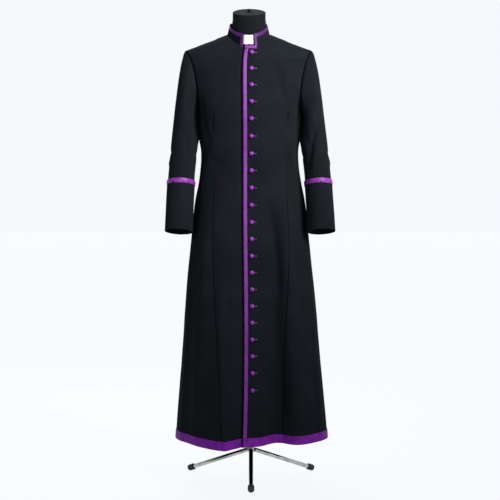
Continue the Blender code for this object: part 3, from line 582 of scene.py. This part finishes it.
BODY_CREASES = list_creases(
    front=(
        ((0.1235, 1.285), (0.1255, 1.200), 0.0, 0.0048, -0.0054),
        ((-0.1325, 1.280), (-0.1315, 1.205), 0.0, 0.0046, -0.0040),
        ((0.075, 1.46), (0.122, 1.27), 0.004, 0.012, -0.0031),
        ((0.100, 1.45), (0.139, 1.29), -0.003, 0.010, 0.0022),
        ((-0.085, 1.43), (-0.128, 1.27), -0.003, 0.012, -0.0020),
        ((0.170, 1.34), (0.150, 1.17), -0.004, 0.010, -0.0060),
        ((0.172, 1.29), (0.143, 1.16), -0.004, 0.007, 0.0025),
        ((-0.172, 1.34), (-0.152, 1.17), 0.004, 0.010, -0.0060),
        ((-0.174, 1.28), (-0.150, 1.15), 0.004, 0.007, 0.0025),
        ((0.150, 1.13), (0.080, 1.09), 0.004, 0.008, -0.0025),
        ((0.155, 1.10), (0.100, 1.075), 0.003, 0.006, 0.0020),
        ((-0.152, 1.12), (-0.095, 1.085), -0.004, 0.008, -0.0022),
        ((-0.150, 1.075), (-0.110, 1.06), 0.003, 0.006, 0.0017),
        ((0.052, 1.01), (0.098, 0.60), -0.010, 0.016, -0.0088),
        ((0.030, 0.98), (0.060, 0.48), -0.004, 0.015, 0.0038),
        ((0.106, 1.05), (0.165, 0.02), 0.002, 0.029, 0.0200),
        ((0.196, 0.90), (0.232, 0.05), 0.003, 0.012, -0.0034),
        ((0.108, 0.50), (0.117, 0.02), 0.004, 0.010, -0.0040),
        ((-0.147, 0.98), (-0.190, 0.02), 0.000, 0.026, 0.0165),
        ((-0.080, 0.90), (-0.098, 0.05), -0.006, 0.014, -0.0042),
    ),
    back=(
        ((0.168, 1.33), (0.122, 1.21), -0.006, 0.010, -0.0042),
        ((-0.170, 1.34), (-0.130, 1.20), 0.006, 0.010, -0.0042),
        ((0.120, 1.13), (0.020, 1.10), 0.005, 0.010, -0.0036),
        ((-0.125, 1.11), (-0.030, 1.085), -0.004, 0.009, -0.0034),
        ((0.110, 1.095), (0.040, 1.07), 0.003, 0.007, 0.0022),
        ((0.090, 1.00), (0.125, 0.05), 0.006, 0.015, -0.0080),
        ((0.035, 0.95), (0.060, 0.05), -0.006, 0.014, 0.0070),
        ((-0.060, 0.98), (-0.082, 0.05), 0.005, 0.015, -0.0077),
        ((-0.115, 0.93), (-0.160, 0.05), -0.004, 0.014, 0.0074),
        ((0.165, 0.90), (0.205, 0.05), 0.004, 0.014, 0.0064),
    ),
    left=(
        ((0.010, 1.44), (0.010, 1.14), 0.0, 0.032, 0.0075),
        ((0.000, 1.03), (0.000, 0.84), 0.0, 0.050, 0.0013),
        ((0.000, 0.80), (0.000, -0.15), 0.0, 0.090, 0.0016),
        ((0.020, 0.98), (0.045, 0.05), 0.004, 0.014, -0.0064),
        ((-0.050, 0.92), (-0.085, 0.05), -0.004, 0.014, 0.0058),
    ),
    right=(
        ((0.010, 1.44), (0.010, 1.14), 0.0, 0.032, 0.0075),
        ((0.000, 1.03), (0.000, 0.83), 0.0, 0.050, 0.0017),
        ((0.000, 0.95), (0.000, -0.15), 0.0, 0.090, 0.0030),
        ((0.015, 0.96), (0.030, 0.05), 0.004, 0.014, -0.0067),
        ((-0.045, 0.94), (-0.090, 0.05), -0.004, 0.013, 0.0054),
    ),
)


def smooth_step(share):
    """From 0 to 1, slow at both ends."""
    share = min(max(share, 0.0), 1.0)
    return share * share * (3 - 2 * share)


def crease_height(creases, point, normal):
    """How far the creases move the cloth out at a point."""
    total = 0.0
    for crease in creases:
        way, side = FACES[crease.face]
        facing = normal.dot(way)
        if facing <= 0.0:
            continue
        place = Vector((point[side] - AXIS[side], point.z))
        start = Vector(crease.start)
        run = Vector(crease.end) - start
        share = (place - start).dot(run) / run.length_squared
        if not 0.0 < share < 1.0:
            continue
        off = (place - start).cross(run) / run.length - crease.bow * 4 * share * (1 - share)
        if abs(off) > 3 * crease.width:
            continue
        fade = smooth_step(share / CREASE_FADE) * smooth_step((1 - share) / CREASE_FADE)
        total += crease.height * fade * math.exp(-(off / crease.width)**2) * math.sqrt(facing)
    return total


def press_creases(bm, creases, roughness=1.0):
    """Move the cloth by its creases and by a slight unevenness of the hang."""
    bm.normal_update()
    moves = []
    for vert in bm.verts:
        move = crease_height(creases, vert.co, vert.normal)
        place = vert.co
        for depth, across, up in UNEVEN_HANG:
            spot = Vector((place.x * across, place.y * across, place.z * up))
            move += depth * roughness * noise.noise(spot)
        moves.append(vert.normal * move)
    for vert, move in zip(bm.verts, moves):
        vert.co += move
    bm.normal_update()


def reach(verts):
    """A search tree of points."""
    tree = kdtree.KDTree(len(verts))
    for number, vert in enumerate(verts):
        tree.insert(vert.co, number)
    tree.balance()
    return tree


def measure_from(bm, name, verts):
    """Store each point's distance from the nearest of some points, for the material."""
    tree = reach(verts)
    layer = bm.verts.layers.float.new(name)
    for vert in bm.verts:
        vert[layer] = tree.find(vert.co)[2]
    return layer


def add_object(name, bm, finish, wall=0.0):
    """A finished piece; a sheet gets its wall, inwards, with crisp cut edges."""
    if wall:
        bmesh.ops.solidify(bm, geom=bm.faces[:], thickness=wall)
    for edge in bm.edges:
        edge.smooth = edge.calc_face_angle(0.0) < CRISP
    mesh = bpy.data.meshes.new(name)
    bm.to_mesh(mesh)
    bm.free()
    mesh.materials.clear()
    mesh.materials.append(finish)
    if "sewn" in mesh.attributes:
        sewn = [item.vector.copy() for item in mesh.attributes["sewn"].data]
        normals = []
        for face in mesh.polygons:
            for index in face.vertices:
                side = face.normal.dot(sewn[index])
                on_rim = abs(side) < 0.5
                normals.append(face.normal if on_rim else sewn[index] * math.copysign(1, side))
        mesh.normals_split_custom_set(normals)
    piece = bpy.data.objects.new(name, mesh)
    bpy.context.scene.collection.objects.link(piece)
    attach(piece, "root")
    return piece


def keep_normals(bm):
    """Store each point's normal, so that parted panels stay smooth across their seams."""
    bm.normal_update()
    layer = bm.verts.layers.float_vector.new("sewn")
    for vert in bm.verts:
        vert[layer] = vert.normal


def only_faces(bm, chosen):
    """A copy of a mesh with some of its faces, as one material."""
    part = bm.copy()
    part.faces.ensure_lookup_table()
    bm.faces.ensure_lookup_table()
    unwanted = [f for f, own in zip(part.faces, bm.faces) if not chosen(own)]
    bmesh.ops.delete(part, geom=unwanted, context="FACES")
    for face in part.faces:
        face.material_index = 0
    return part


def twill_piece(node, bm, grid):
    """A cut piece in place of its solid; the size it lies flat is worked out but not used."""
    piece = add_object(f"{node}_cloth", bm, BLACK_TWILL, WALL)
    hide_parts(node)
    min(grid.area, grid.width * grid.length)


def body_trim(one, other):
    """The hem band's top edge, and the front piping's inner edge on the left front."""
    hem_top = one[2] == 0 and other[2] == 1
    return hem_top or one[0] == other[0] == 0 and one[1] == 0 and other[1] == 1


def is_armhole(place):
    """Whether a point on the body's open edges lies on an armhole."""
    return abs(place.x - AXIS.x) > ARMHOLE_OUT and ARMHOLE_LOW < place.z < ARMHOLE_HIGH


def sink_edge(bm, edge, depth):
    """Draw the cloth in along the sewn edge of an armhole, above the underarm."""
    bm.normal_update()
    tree = reach(edge)
    moves = [v.normal * depth * smooth_step((v.co.z - SINK_LOW) / SINK_FADE)
             * (1 - smooth_step(tree.find(v.co)[2] / SINK_WIDTH)) for v in bm.verts]
    for vert, move in zip(bm.verts, moves):
        vert.co -= move


def press_lap(bm):
    """Lift the free edge of the left front, and press the right front in beside it."""
    column = bm.faces.layers.int["column"]
    edge = [v for e in bm.edges if e.is_boundary and abs(e.verts[0].co.z - e.verts[1].co.z)
            > LAP_UPRIGHT * e.calc_length() for f in e.link_faces
            if f.material_index == 0 and f[column] == 0 for v in e.verts]
    tree = reach(edge)
    left = {v for f in bm.faces if f.material_index == 0 and f[column] < LAP_COLUMNS
            for v in f.verts}
    right = {v for f in bm.faces if f.material_index == 1 for v in f.verts}
    for vert in left:
        away = tree.find(vert.co)[2]
        vert.co.y -= LAP_LIFT * math.exp(-(away / LAP_LIFT_WIDTH)**2)
    for vert in right:
        near = tree.find(vert.co)[0]
        beside = near.x - vert.co.x
        low = smooth_step((LAP_LOW - vert.co.z) / LAP_FADE)
        width = LAP_WIDTH + LAP_SPREAD * low
        depth = LAP_PRESS * (1 + LAP_PRESS_LOW * low)
        vert.co.y += depth * math.exp(-((beside - LAP_BESIDE) / width)**2)


def solids(names):
    """Search tree of the surfaces of some solids."""
    points = []
    faces = []
    for name in names:
        mesh = bpy.data.objects[name].data
        faces += [[len(points) + index for index in face.vertices] for face in mesh.polygons]
        points += [v.co.copy() for v in mesh.vertices]
    return BVHTree.FromPolygons(points, faces)


def mark_painted_shade(bm, others, lowest=0.0):
    """Store how clear the cloth is of what hangs against it, for the painted shade: 0 where they
    touch, 1 far off.
    """
    tree = solids(others)
    layer = bm.verts.layers.float.new("beside")
    for vert in bm.verts:
        grown = smooth_step((SHADE_TOP - vert.co.z) / SHADE_FADE)
        grown *= smooth_step((vert.co.z - lowest) / SHADE_LOW_FADE)
        core = SHADE_TOUCH + SHADE_CORE * grown
        wide = SHADE_NARROW + (SHADE_WIDE - SHADE_NARROW) * grown
        near = tree.find_nearest(vert.co, 2 * SHADE_WIDE)[3]
        vert[layer] = 1.0 if near is None else min(max((near - core) / wide, 0.0), 1.0)


def seam_strength(place):
    """How strongly a seam shows: a tick at the chest, faint at the waist, clear below."""
    if place.y > AXIS.y - FRONT_OF_AXIS:
        return SEAM_SHOWS["back"]
    tick = smooth_step((place.z - TICK_LOW) / TICK_FADE)
    tick *= 1 - smooth_step((place.z - TICK_HIGH) / TICK_FADE)
    skirt = 1 - smooth_step((place.z - SKIRT_TOP) / SKIRT_FADE)
    waist = 1 - smooth_step((place.z - WAIST_TOP) / WAIST_FADE)
    return max(tick * SEAM_SHOWS["tick"], skirt * SEAM_SHOWS["skirt"],
               waist * SEAM_SHOWS["waist"], SEAM_SHOWS["least"])


panel_grids = {name: cloth_grid(name, WALL, facing) for name, facing in PANELS.items()}
BODY = smoothed(joined_cloth(panel_grids.values(), NEAR_SEAM, body_trim))
press_creases(BODY, BODY_CREASES)
seam_points = {v for e in BODY.edges for v in e.verts
               if len({f.material_index for f in e.link_faces}) > 1}
press_lap(BODY)
armholes = [v for v in BODY.verts if v.is_boundary and is_armhole(v.co)]
sink_edge(BODY, armholes, BODY_SINK)
for vert in seam_points:
    vert.co -= vert.normal * SEAM_DEPTH * seam_strength(vert.co)
armhole_edge = reach(armholes)
measure_from(BODY, "seam", list(seam_points) + armholes)
strength = BODY.verts.layers.float.new("seam_strength")
for vert in BODY.verts:
    at_armhole = armhole_edge.find(vert.co)[2] < ARMHOLE_REACH
    vert[strength] = SEAM_SHOWS["armhole"] if at_armhole else seam_strength(vert.co)
# Painted shade on the body beside the sleeves
mark_painted_shade(BODY, SLEEVE_NODES)
keep_normals(BODY)
ROW = BODY.faces.layers.int["row"]
COLUMN = BODY.faces.layers.int["column"]
SURFACE = BVHTree.FromBMesh(only_faces(BODY, lambda f: f.material_index == 0))

for number, (name, grid) in enumerate(panel_grids.items()):
    twill_piece(name, only_faces(BODY, lambda f: f.material_index == number), grid)


# ------------------------------
# Edging: folded purple satin, machine-stitched near both edges. One strip runs down
# the left front from the neck, one goes round the hem, and a short one closes the
# neck line inside the opening.
SATIN_WALL = 0.0009
SATIN_LIFT = 0.0010
SATIN_PUFF = 0.0009
SATIN_EDGE = 0.0035
PIPING_ROWS = 15
PIPING_INSET = 0.0008
PIPING_TRIM = 0.0020
PIPING_CUT = (0.015, 1.38)
UNDERLAP_COLUMN = 7
NECK_PIPING = (-0.0205, 0.0185, 1.4925, 1.5035)
NECK_CUT = (0.034, 0.011)
NECK_DEPTH = -0.09


def satin_strip(node, bm, finish=PURPLE_SATIN):
    """Lift a patch of the cloth below into a strip that swells between its edges."""
    if "sewn" in bm.verts.layers.float_vector:
        bm.verts.layers.float_vector.remove(bm.verts.layers.float_vector["sewn"])
    bm.normal_update()
    edge = measure_from(bm, "edge", [v for v in bm.verts if v.is_boundary])
    normals = [v.normal.copy() for v in bm.verts]
    for vert, normal in zip(bm.verts, normals):
        vert.co += normal * (SATIN_LIFT + SATIN_PUFF * smooth_step(vert[edge] / SATIN_EDGE))
    strip = add_object(f"{node}_satin", bm, finish, SATIN_WALL)
    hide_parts(node)


def band_face(face):
    """The lowest cells all round, but for the piping's and the hidden underlap's."""
    panel, column = face.material_index, face[COLUMN]
    hidden = panel == 1 and column >= UNDERLAP_COLUMN
    return face[ROW] == 0 and (panel, column) != (0, 0) and not hidden


piping_cloth = only_faces(
    BODY, lambda f: f.material_index == 0 and f[COLUMN] == 0 and f[ROW] < PIPING_ROWS)
free_edge = reach([v for v in BODY.verts if v.is_boundary and any(
    f.material_index == 0 and f[COLUMN] == 0 and f[ROW] < PIPING_ROWS for f in v.link_faces)
    and v.co.x < AXIS.x])
for vert in piping_cloth.verts:
    near = free_edge.find(vert.co)[0]
    share = min(abs(vert.co.x - near.x) / PIPING_CUT[0], 1.0)
    vert.co.x += PIPING_INSET - (PIPING_INSET + PIPING_TRIM) * share
satin_strip("front_piping", piping_cloth)

satin_strip("hem_band", only_faces(BODY, band_face),
            HEM_SATIN)

neck_strip = bmesh.new()
bmesh.ops.create_grid(neck_strip, x_segments=24, y_segments=8, size=0.5)
cut = neck_strip.loops.layers.uv.new("cut")
for face in neck_strip.faces:
    for loop in face.loops:
        loop[cut].uv = loop.vert.co.x * NECK_CUT[0], loop.vert.co.y * NECK_CUT[1]
left, right, low, high = NECK_PIPING
for vert in neck_strip.verts:
    aim = Vector((AXIS.x + left + (right - left) * (vert.co.x + 0.5), NECK_DEPTH,
                  low + (high - low) * (vert.co.y + 0.5)))
    spot = SURFACE.find_nearest(aim)[0]
    vert.co = Vector((aim.x, spot.y, aim.z))
bmesh.ops.recalc_face_normals(neck_strip, faces=neck_strip.faces[:])
if sum(f.normal.y for f in neck_strip.faces) > 0:
    bmesh.ops.reverse_faces(neck_strip, faces=neck_strip.faces[:])
satin_strip("neck_piping", neck_strip)


# ------------------------------
# Sleeves: an upper and an under piece of the same twill, sewn to the armhole, with a
# turned-back cuff and a satin band round the cuff's top.
SLEEVE_GAP = 0.0013
SLEEVE_SINK = 0.0035
SLEEVE_SHADE_LOW = 1.16
SLEEVE_SEAM = 0.35
CUFF_UNEVEN = 0.7
LEFT_SLEEVE_CREASES = list_creases(
    front=(
        ((0.230, 1.25), (0.194, 1.05), 0.006, 0.009, -0.0068),
        ((0.246, 1.20), (0.212, 1.075), 0.006, 0.010, 0.0034),
        ((0.205, 1.34), (0.232, 1.20), -0.006, 0.010, -0.0026),
        ((0.215, 1.43), (0.236, 1.30), 0.004, 0.009, 0.0020),
        ((0.186, 1.20), (0.214, 1.14), 0.004, 0.008, -0.0032),
    ),
    right=(
        ((0.002, 1.46), (0.000, 1.145), 0.0, 0.024, 0.0125),
        ((-0.050, 1.15), (0.020, 1.10), 0.004, 0.010, -0.0030),
    ),
    left=(
        ((-0.055, 1.16), (0.020, 1.10), 0.006, 0.010, -0.0036),
        ((-0.050, 1.12), (0.010, 1.075), 0.004, 0.009, 0.0026),
        ((0.030, 1.33), (-0.010, 1.18), 0.006, 0.012, -0.0026),
    ),
    back=(
        ((0.262, 1.22), (0.205, 1.12), 0.006, 0.011, -0.0040),
        ((0.268, 1.15), (0.214, 1.08), 0.005, 0.010, 0.0030),
        ((0.202, 1.33), (0.236, 1.22), -0.005, 0.011, -0.0030),
    ),
)
RIGHT_SLEEVE_CREASES = list_creases(
    front=(
        ((-0.232, 1.22), (-0.206, 1.09), -0.006, 0.012, -0.0034),
        ((-0.250, 1.17), (-0.216, 1.07), -0.005, 0.010, 0.0026),
        ((-0.204, 1.36), (-0.230, 1.22), 0.006, 0.010, -0.0024),
        ((-0.216, 1.44), (-0.236, 1.31), -0.004, 0.009, 0.0018),
        ((-0.190, 1.19), (-0.218, 1.13), -0.004, 0.008, -0.0028),
    ),
    left=(
        ((0.002, 1.46), (0.000, 1.15), 0.0, 0.024, 0.0125),
        ((-0.048, 1.15), (0.022, 1.09), -0.004, 0.010, -0.0030),
    ),
    right=(
        ((-0.060, 1.15), (0.018, 1.10), -0.005, 0.010, -0.0034),
        ((-0.050, 1.11), (0.012, 1.07), -0.004, 0.009, 0.0024),
        ((0.028, 1.35), (-0.014, 1.20), -0.006, 0.012, -0.0024),
    ),
    back=(
        ((-0.262, 1.21), (-0.208, 1.13), -0.006, 0.011, -0.0036),
        ((-0.266, 1.16), (-0.214, 1.08), -0.005, 0.010, 0.0028),
        ((-0.202, 1.35), (-0.232, 1.23), 0.005, 0.011, -0.0026),
    ),
)
BAND_ROW = 2


def cuff_trim(one, other):
    """The lower edge of the satin band round the cuff's top."""
    return {one[2], other[2]} == {BAND_ROW, BAND_ROW - 1}


def add_sleeve(side, way, creases):
    """A sleeve's two halves, its cuff and the cuff's band; way is 1 on the left."""
    halves = {
        f"upper_sleeve_{side}": cloth_grid(f"upper_sleeve_{side}", WALL, (way, 0, 0)),
        f"under_sleeve_{side}": cloth_grid(f"under_sleeve_{side}", WALL, (-way, 0, 0)),
    }
    whole = smoothed(joined_cloth(halves.values(), SLEEVE_GAP))
    press_creases(whole, creases)
    top = [v for v in whole.verts if v.is_boundary and v.co.z > ARMHOLE_LOW]
    sink_edge(whole, top, SLEEVE_SINK)
    seam = [v for e in whole.edges for v in e.verts
            if len({f.material_index for f in e.link_faces}) > 1]
    measure_from(whole, "seam", seam + top)
    shown = whole.verts.layers.float.new("seam_strength")
    for vert in whole.verts:
        vert[shown] = SLEEVE_SEAM
    # Painted shade on the sleeve where it hangs against the body
    mark_painted_shade(whole, PANELS, SLEEVE_SHADE_LOW)
    keep_normals(whole)
    for number, (name, grid) in enumerate(halves.items()):
        twill_piece(name, only_faces(whole, lambda f: f.material_index == number), grid)

    cuff_grid = cloth_grid(f"cuff_{side}", WALL)
    cuff = smoothed(joined_cloth([cuff_grid], SLEEVE_GAP, cuff_trim))
    press_creases(cuff, creases, CUFF_UNEVEN)
    # Painted shade on the cuff where it hangs against the body
    mark_painted_shade(cuff, PANELS)
    row = cuff.faces.layers.int["row"]
    satin_strip(f"cuff_band_{side}", only_faces(cuff, lambda f: f[row] == BAND_ROW),
                CUFF_SATIN)
    twill_piece(f"cuff_{side}", cuff, cuff_grid)


add_sleeve("left", 1, LEFT_SLEEVE_CREASES)
add_sleeve("right", -1, RIGHT_SLEEVE_CREASES)


# ------------------------------
# Collar: a stiffened stand collar of twill, open at the front, with satin round its
# top and down both ends, and a smooth white plastic tab slid in behind the opening.
TAB_WALL = 0.001
BINDING_ROW = 1
BINDING_DROP, BINDING_WIDTH = 0.0062, 0.010
END_DROP, END_START, END_LENGTH = 0.0010, 0.014, 0.03
# Painted shade on the collar's twill, strongest on its left side and fading towards its right
COLLAR_SHADE_CLEAR, COLLAR_SHADE_GAIN = 0.50, 0.45
COLLAR_SHADE_START, COLLAR_SHADE_WIDTH = -0.05, 0.10
TAB_SHOWS = (-0.0290, 0.0140)
TAB_SHADE = 0.0125


def collar_trim(one, other):
    """The inner edge of the satin along the collar's top and down its two ends."""
    return one[2] != other[2] or one[1] == 0 or other[1] == COLLAR_COLUMNS - 1


collar_grid = cloth_grid("collar", WALL)
collar_faces = collar_grid.bm.faces
COLLAR_COLUMNS = 1 + max(f[collar_faces.layers.int["column"]] for f in collar_faces)
collar = smoothed(joined_cloth([collar_grid], WELD, collar_trim))
collar_row = collar.faces.layers.int["row"]
collar_column = collar.faces.layers.int["column"]
binding_cloth = only_faces(
    collar, lambda f: f[collar_row] >= BINDING_ROW
    or f[collar_row] == 0 and f[collar_column] in (0, COLLAR_COLUMNS - 1))
top_edge = reach([v for v in binding_cloth.verts if any(
    f[binding_cloth.faces.layers.int["row"]] == BINDING_ROW + 1 for f in v.link_faces)])
for vert in binding_cloth.verts:
    away = top_edge.find(vert.co)[2]
    vert.co.z -= (BINDING_DROP * min(away / BINDING_WIDTH, 1.0)
                  + END_DROP * smooth_step((away - END_START) / END_LENGTH))
satin_strip("collar_binding", binding_cloth, COLLAR_SATIN)
# Painted shade: the collar is painted darker on its left side, less towards its right
collar_shade = collar.verts.layers.float.new("beside")
for vert in collar.verts:
    share = smooth_step((vert.co.x - AXIS.x - COLLAR_SHADE_START) / COLLAR_SHADE_WIDTH)
    vert[collar_shade] = COLLAR_SHADE_CLEAR + COLLAR_SHADE_GAIN * share
twill_piece("collar", collar, collar_grid)


def tab_material():
    """Smooth white plastic with a faint grain, and painted shade at its ends where it slides
    under the cloth.
    """
    white = Surface("white_plastic", Specular_IOR_Level=0.3)
    place = white.place()
    across = white.split(place)[0]
    left, right = (AXIS.x + end for end in TAB_SHOWS)
    # Painted shade at both ends of the tab, where it slides under the collar's ends
    painted_end_shade = 1.0 - across.between(left, left + TAB_SHADE)
    painted_end_shade = painted_end_shade + across.between(right - TAB_SHADE, right)
    grain = white.noise(place, 900.0, 2.0)
    tone = white.blend(painted_end_shade * 0.9 + grain * 0.06, color(0.42, 0.425, 0.43),
                       color(0.035, 0.035, 0.038))
    white.feed(white.shader.inputs["Base Color"], tone)
    white.feed(white.shader.inputs["Roughness"], 0.30 + grain * 0.15)
    white.relief(grain, 0.00002)
    return white.material


tab_grid = cloth_grid("collar_tab", TAB_WALL, (0, -1, 0))
tab = add_object("collar_tab_plastic", smoothed(joined_cloth([tab_grid], WELD)),
                 tab_material(), TAB_WALL)
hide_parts("collar_tab")


# ------------------------------
# Buttons: satin-covered domes on short shanks, in one row beside the piping, each
# with a hand-worked purple buttonhole that shows towards the wearer's left.
BUTTONS = 21
BUTTON_GAP = 0.0006
BUTTON_SIDES = 28
BUTTON_TURN = 2.4
DOME = ((0.0030, 0.0), (0.0030, 0.0012), (0.0062, 0.0018), (0.0071, 0.0026), (0.0075, 0.0037),
        (0.0072, 0.0048), (0.0062, 0.0059), (0.0044, 0.0069), (0.0022, 0.0074), (0.0, 0.0076))
HOLE_START = 0.0050
HOLE_END = 0.0155
HOLE_HALF = 0.0009
HOLE_LIFT, HOLE_RISE = 0.0002, 0.0008
TACK_RADIUS = 0.0019
TACK_INSET = 0.55
TACK_LIFT, TACK_RISE = 0.0003, 0.0012
THREAD_WALL = 0.0004


def front_point(across, height):
    """Point and normal of the left front, seen square on."""
    hit, normal, _, _ = SURFACE.ray_cast(Vector((across, -1.0, height)), Vector((0, 1, 0)))
    return hit, normal


def button_mesh():
    """A button spun from half its outline."""
    bm = bmesh.new()
    verts = [bm.verts.new((radius, 0.0, height)) for radius, height in DOME]
    edges = [bm.edges.new(pair) for pair in zip(verts, verts[1:])]
    bmesh.ops.spin(bm, geom=verts + edges, cent=(0, 0, 0), axis=(0, 0, 1), dvec=(0, 0, 0),
                   angle=math.tau, steps=BUTTON_SIDES, use_merge=True)
    bmesh.ops.remove_doubles(bm, verts=bm.verts[:], dist=WELD)
    rim = [e for e in bm.edges if e.is_boundary]
    bmesh.ops.contextual_create(bm, geom=rim)
    bmesh.ops.recalc_face_normals(bm, faces=bm.faces[:])
    cut = bm.loops.layers.uv.new("cut")
    for face in bm.faces:
        for loop in face.loops:
            loop[cut].uv = loop.vert.co.xy
    return bm


def add_button(number):
    """Set a button on the left front, over its solid."""
    node = f"button_{number:02d}"
    low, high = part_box(node)
    hit, normal = front_point((low.x + high.x) / 2, (low.z + high.z) / 2)
    bm = button_mesh()
    turned = normal.to_track_quat("Z", "Y").to_matrix().to_4x4()
    swing = Matrix.Rotation(number * BUTTON_TURN, 4, "Z")
    place = Matrix.Translation(hit + normal * BUTTON_GAP) @ turned @ swing
    bmesh.ops.transform(bm, matrix=place, verts=bm.verts[:])
    piece = add_object(f"{node}_satin", bm, BUTTON_SATIN)
    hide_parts(node)
    return hit


def add_buttonhole(bm, centre):
    """A slim raised bar of thread that ends in a round tack."""
    bar = bmesh.ops.create_grid(bm, x_segments=10, y_segments=4, size=0.5)["verts"]
    for vert in bar:
        share = vert.co.x + 0.5
        across = centre.x + HOLE_START + (HOLE_END - HOLE_START) * share
        height = centre.z + vert.co.y * 2 * HOLE_HALF
        hit, normal = front_point(across, height)
        swell = 1 - (2 * abs(vert.co.y))**2
        vert.co = hit + normal * (HOLE_LIFT + HOLE_RISE * swell)
    tack = bmesh.ops.create_circle(bm, cap_ends=True, segments=12, radius=TACK_RADIUS)["verts"]
    rings = bmesh.ops.inset_region(bm, faces=list({f for v in tack for f in v.link_faces}),
                                   thickness=TACK_RADIUS * TACK_INSET)["faces"]
    for vert in {v for f in rings for v in f.verts} | set(tack):
        rise = 1 - (vert.co.xy.length / TACK_RADIUS)**2
        hit, normal = front_point(centre.x + HOLE_END + vert.co.x, centre.z + vert.co.y)
        vert.co = hit + normal * (TACK_LIFT + TACK_RISE * rise)


BUTTON_SATIN = satin_material("button_satin", color(0.070, 0.007, 0.112),
                              color(0.110, 0.013, 0.160), 0.36)
holes = bmesh.new()
for number in range(1, BUTTONS + 1):
    centre = add_button(number)
    add_buttonhole(holes, centre)
holes.loops.layers.uv.new("cut")
buttonholes = add_object("buttonholes", holes, BUTTON_SATIN, THREAD_WALL)


# ------------------------------
# Dress form: a padded torso under a black knit cover, a neck block with a slanted cap
# edged by a stitched roll, and a small turned stub on top.
def knit_material():
    """Black knit cover, with fine upright ribs and a little lint."""
    knit = Surface("black_knit", Sheen_Weight=0.02, Sheen_Roughness=0.5,
                   Sheen_Tint=color(0.8, 0.85, 0.9), Specular_IOR_Level=0.03)
    place = knit.place()
    loops = knit.noise(knit.stretched(place, (900.0, 900.0, 420.0)), 1.0, 1.0)
    patches = knit.noise(place, 22.0, 3.0)
    tone = knit.blend((loops * 0.5 + patches * 0.6).between(0.3, 0.8),
                      color(0.0015, 0.0018, 0.0023), color(0.0036, 0.0041, 0.0049))
    knit.feed(knit.shader.inputs["Base Color"], tone)
    knit.feed(knit.shader.inputs["Roughness"], 0.82 + patches * 0.12)
    knit.relief(loops, 0.0003)
    return knit.material


def finish_nodes(finish, names):
    """Give solids whose shape is right a better material."""
    for name in names:
        slots = bpy.data.objects[name].data.materials
        slots.clear()
        slots.append(finish)


finish_nodes(knit_material(), ("form_torso", "form_neck", "form_stub"))


# ------------------------------
# Stand: a chromed steel pole with a turned hub, three chromed tube legs that splay from
# it, and moulded rubber feet pushed on their ends.
# Painted reflection of the dark skirt: which way the chrome faces, how far it turns sideways,
# and between which heights
CHROME_UNDER, CHROME_UPPER = -0.20, 0.12
CHROME_TURNED = (0.20, 0.55)
CHROME_LOW, CHROME_HIGH = 0.012, 0.066


def chrome_material():
    """Polished chrome with smudges, and a painted reflection of the dark skirt above along its
    top.
    """
    chrome = Surface("polished_chrome", Metallic=1.0)
    place = chrome.place()
    smudges = chrome.noise(place, 45.0, 3.0)
    grain = chrome.noise(place, 700.0, 1.0)
    tone = chrome.blend(smudges.between(0.3, 0.7), color(0.29, 0.29, 0.275),
                        color(0.50, 0.50, 0.48))
    sideways, _, upward = chrome.split(
        chrome.node("ShaderNodeNewGeometry", None, None, "Normal"))
    # Painted reflection: chrome facing up, not turned aside, and above the floor is painted near
    # black
    painted_reflection = upward.between(CHROME_UNDER, CHROME_UPPER) * (1.0 - sideways.between(*CHROME_TURNED))
    painted_reflection = painted_reflection * chrome.split(place)[2].between(CHROME_LOW, CHROME_HIGH)
    tone = chrome.blend(painted_reflection, tone, color(0.010, 0.010, 0.010))
    chrome.feed(chrome.shader.inputs["Base Color"], tone)
    chrome.feed(chrome.shader.inputs["Roughness"], 0.08 + smudges * 0.10)
    chrome.relief(grain, 0.00001)
    return chrome.material


def rubber_material():
    """Dark grey moulded rubber, dull and slightly pitted."""
    rubber = Surface("grey_rubber", Specular_IOR_Level=0.35)
    place = rubber.place()
    pits = rubber.noise(place, 600.0, 3.0)
    dust = rubber.noise(place, 60.0, 2.0)
    tone = rubber.blend(dust.between(0.4, 0.75), color(0.004, 0.0043, 0.0046),
                        color(0.013, 0.0134, 0.014))
    rubber.feed(rubber.shader.inputs["Base Color"], tone)
    rubber.feed(rubber.shader.inputs["Roughness"], 0.55 + pits * 0.25)
    rubber.relief(pits, 0.00010)
    return rubber.material


finish_nodes(chrome_material(), ("pole", "hub", "leg_1", "leg_2", "leg_3"))
finish_nodes(rubber_material(), ("foot_1", "foot_2", "foot_3"))
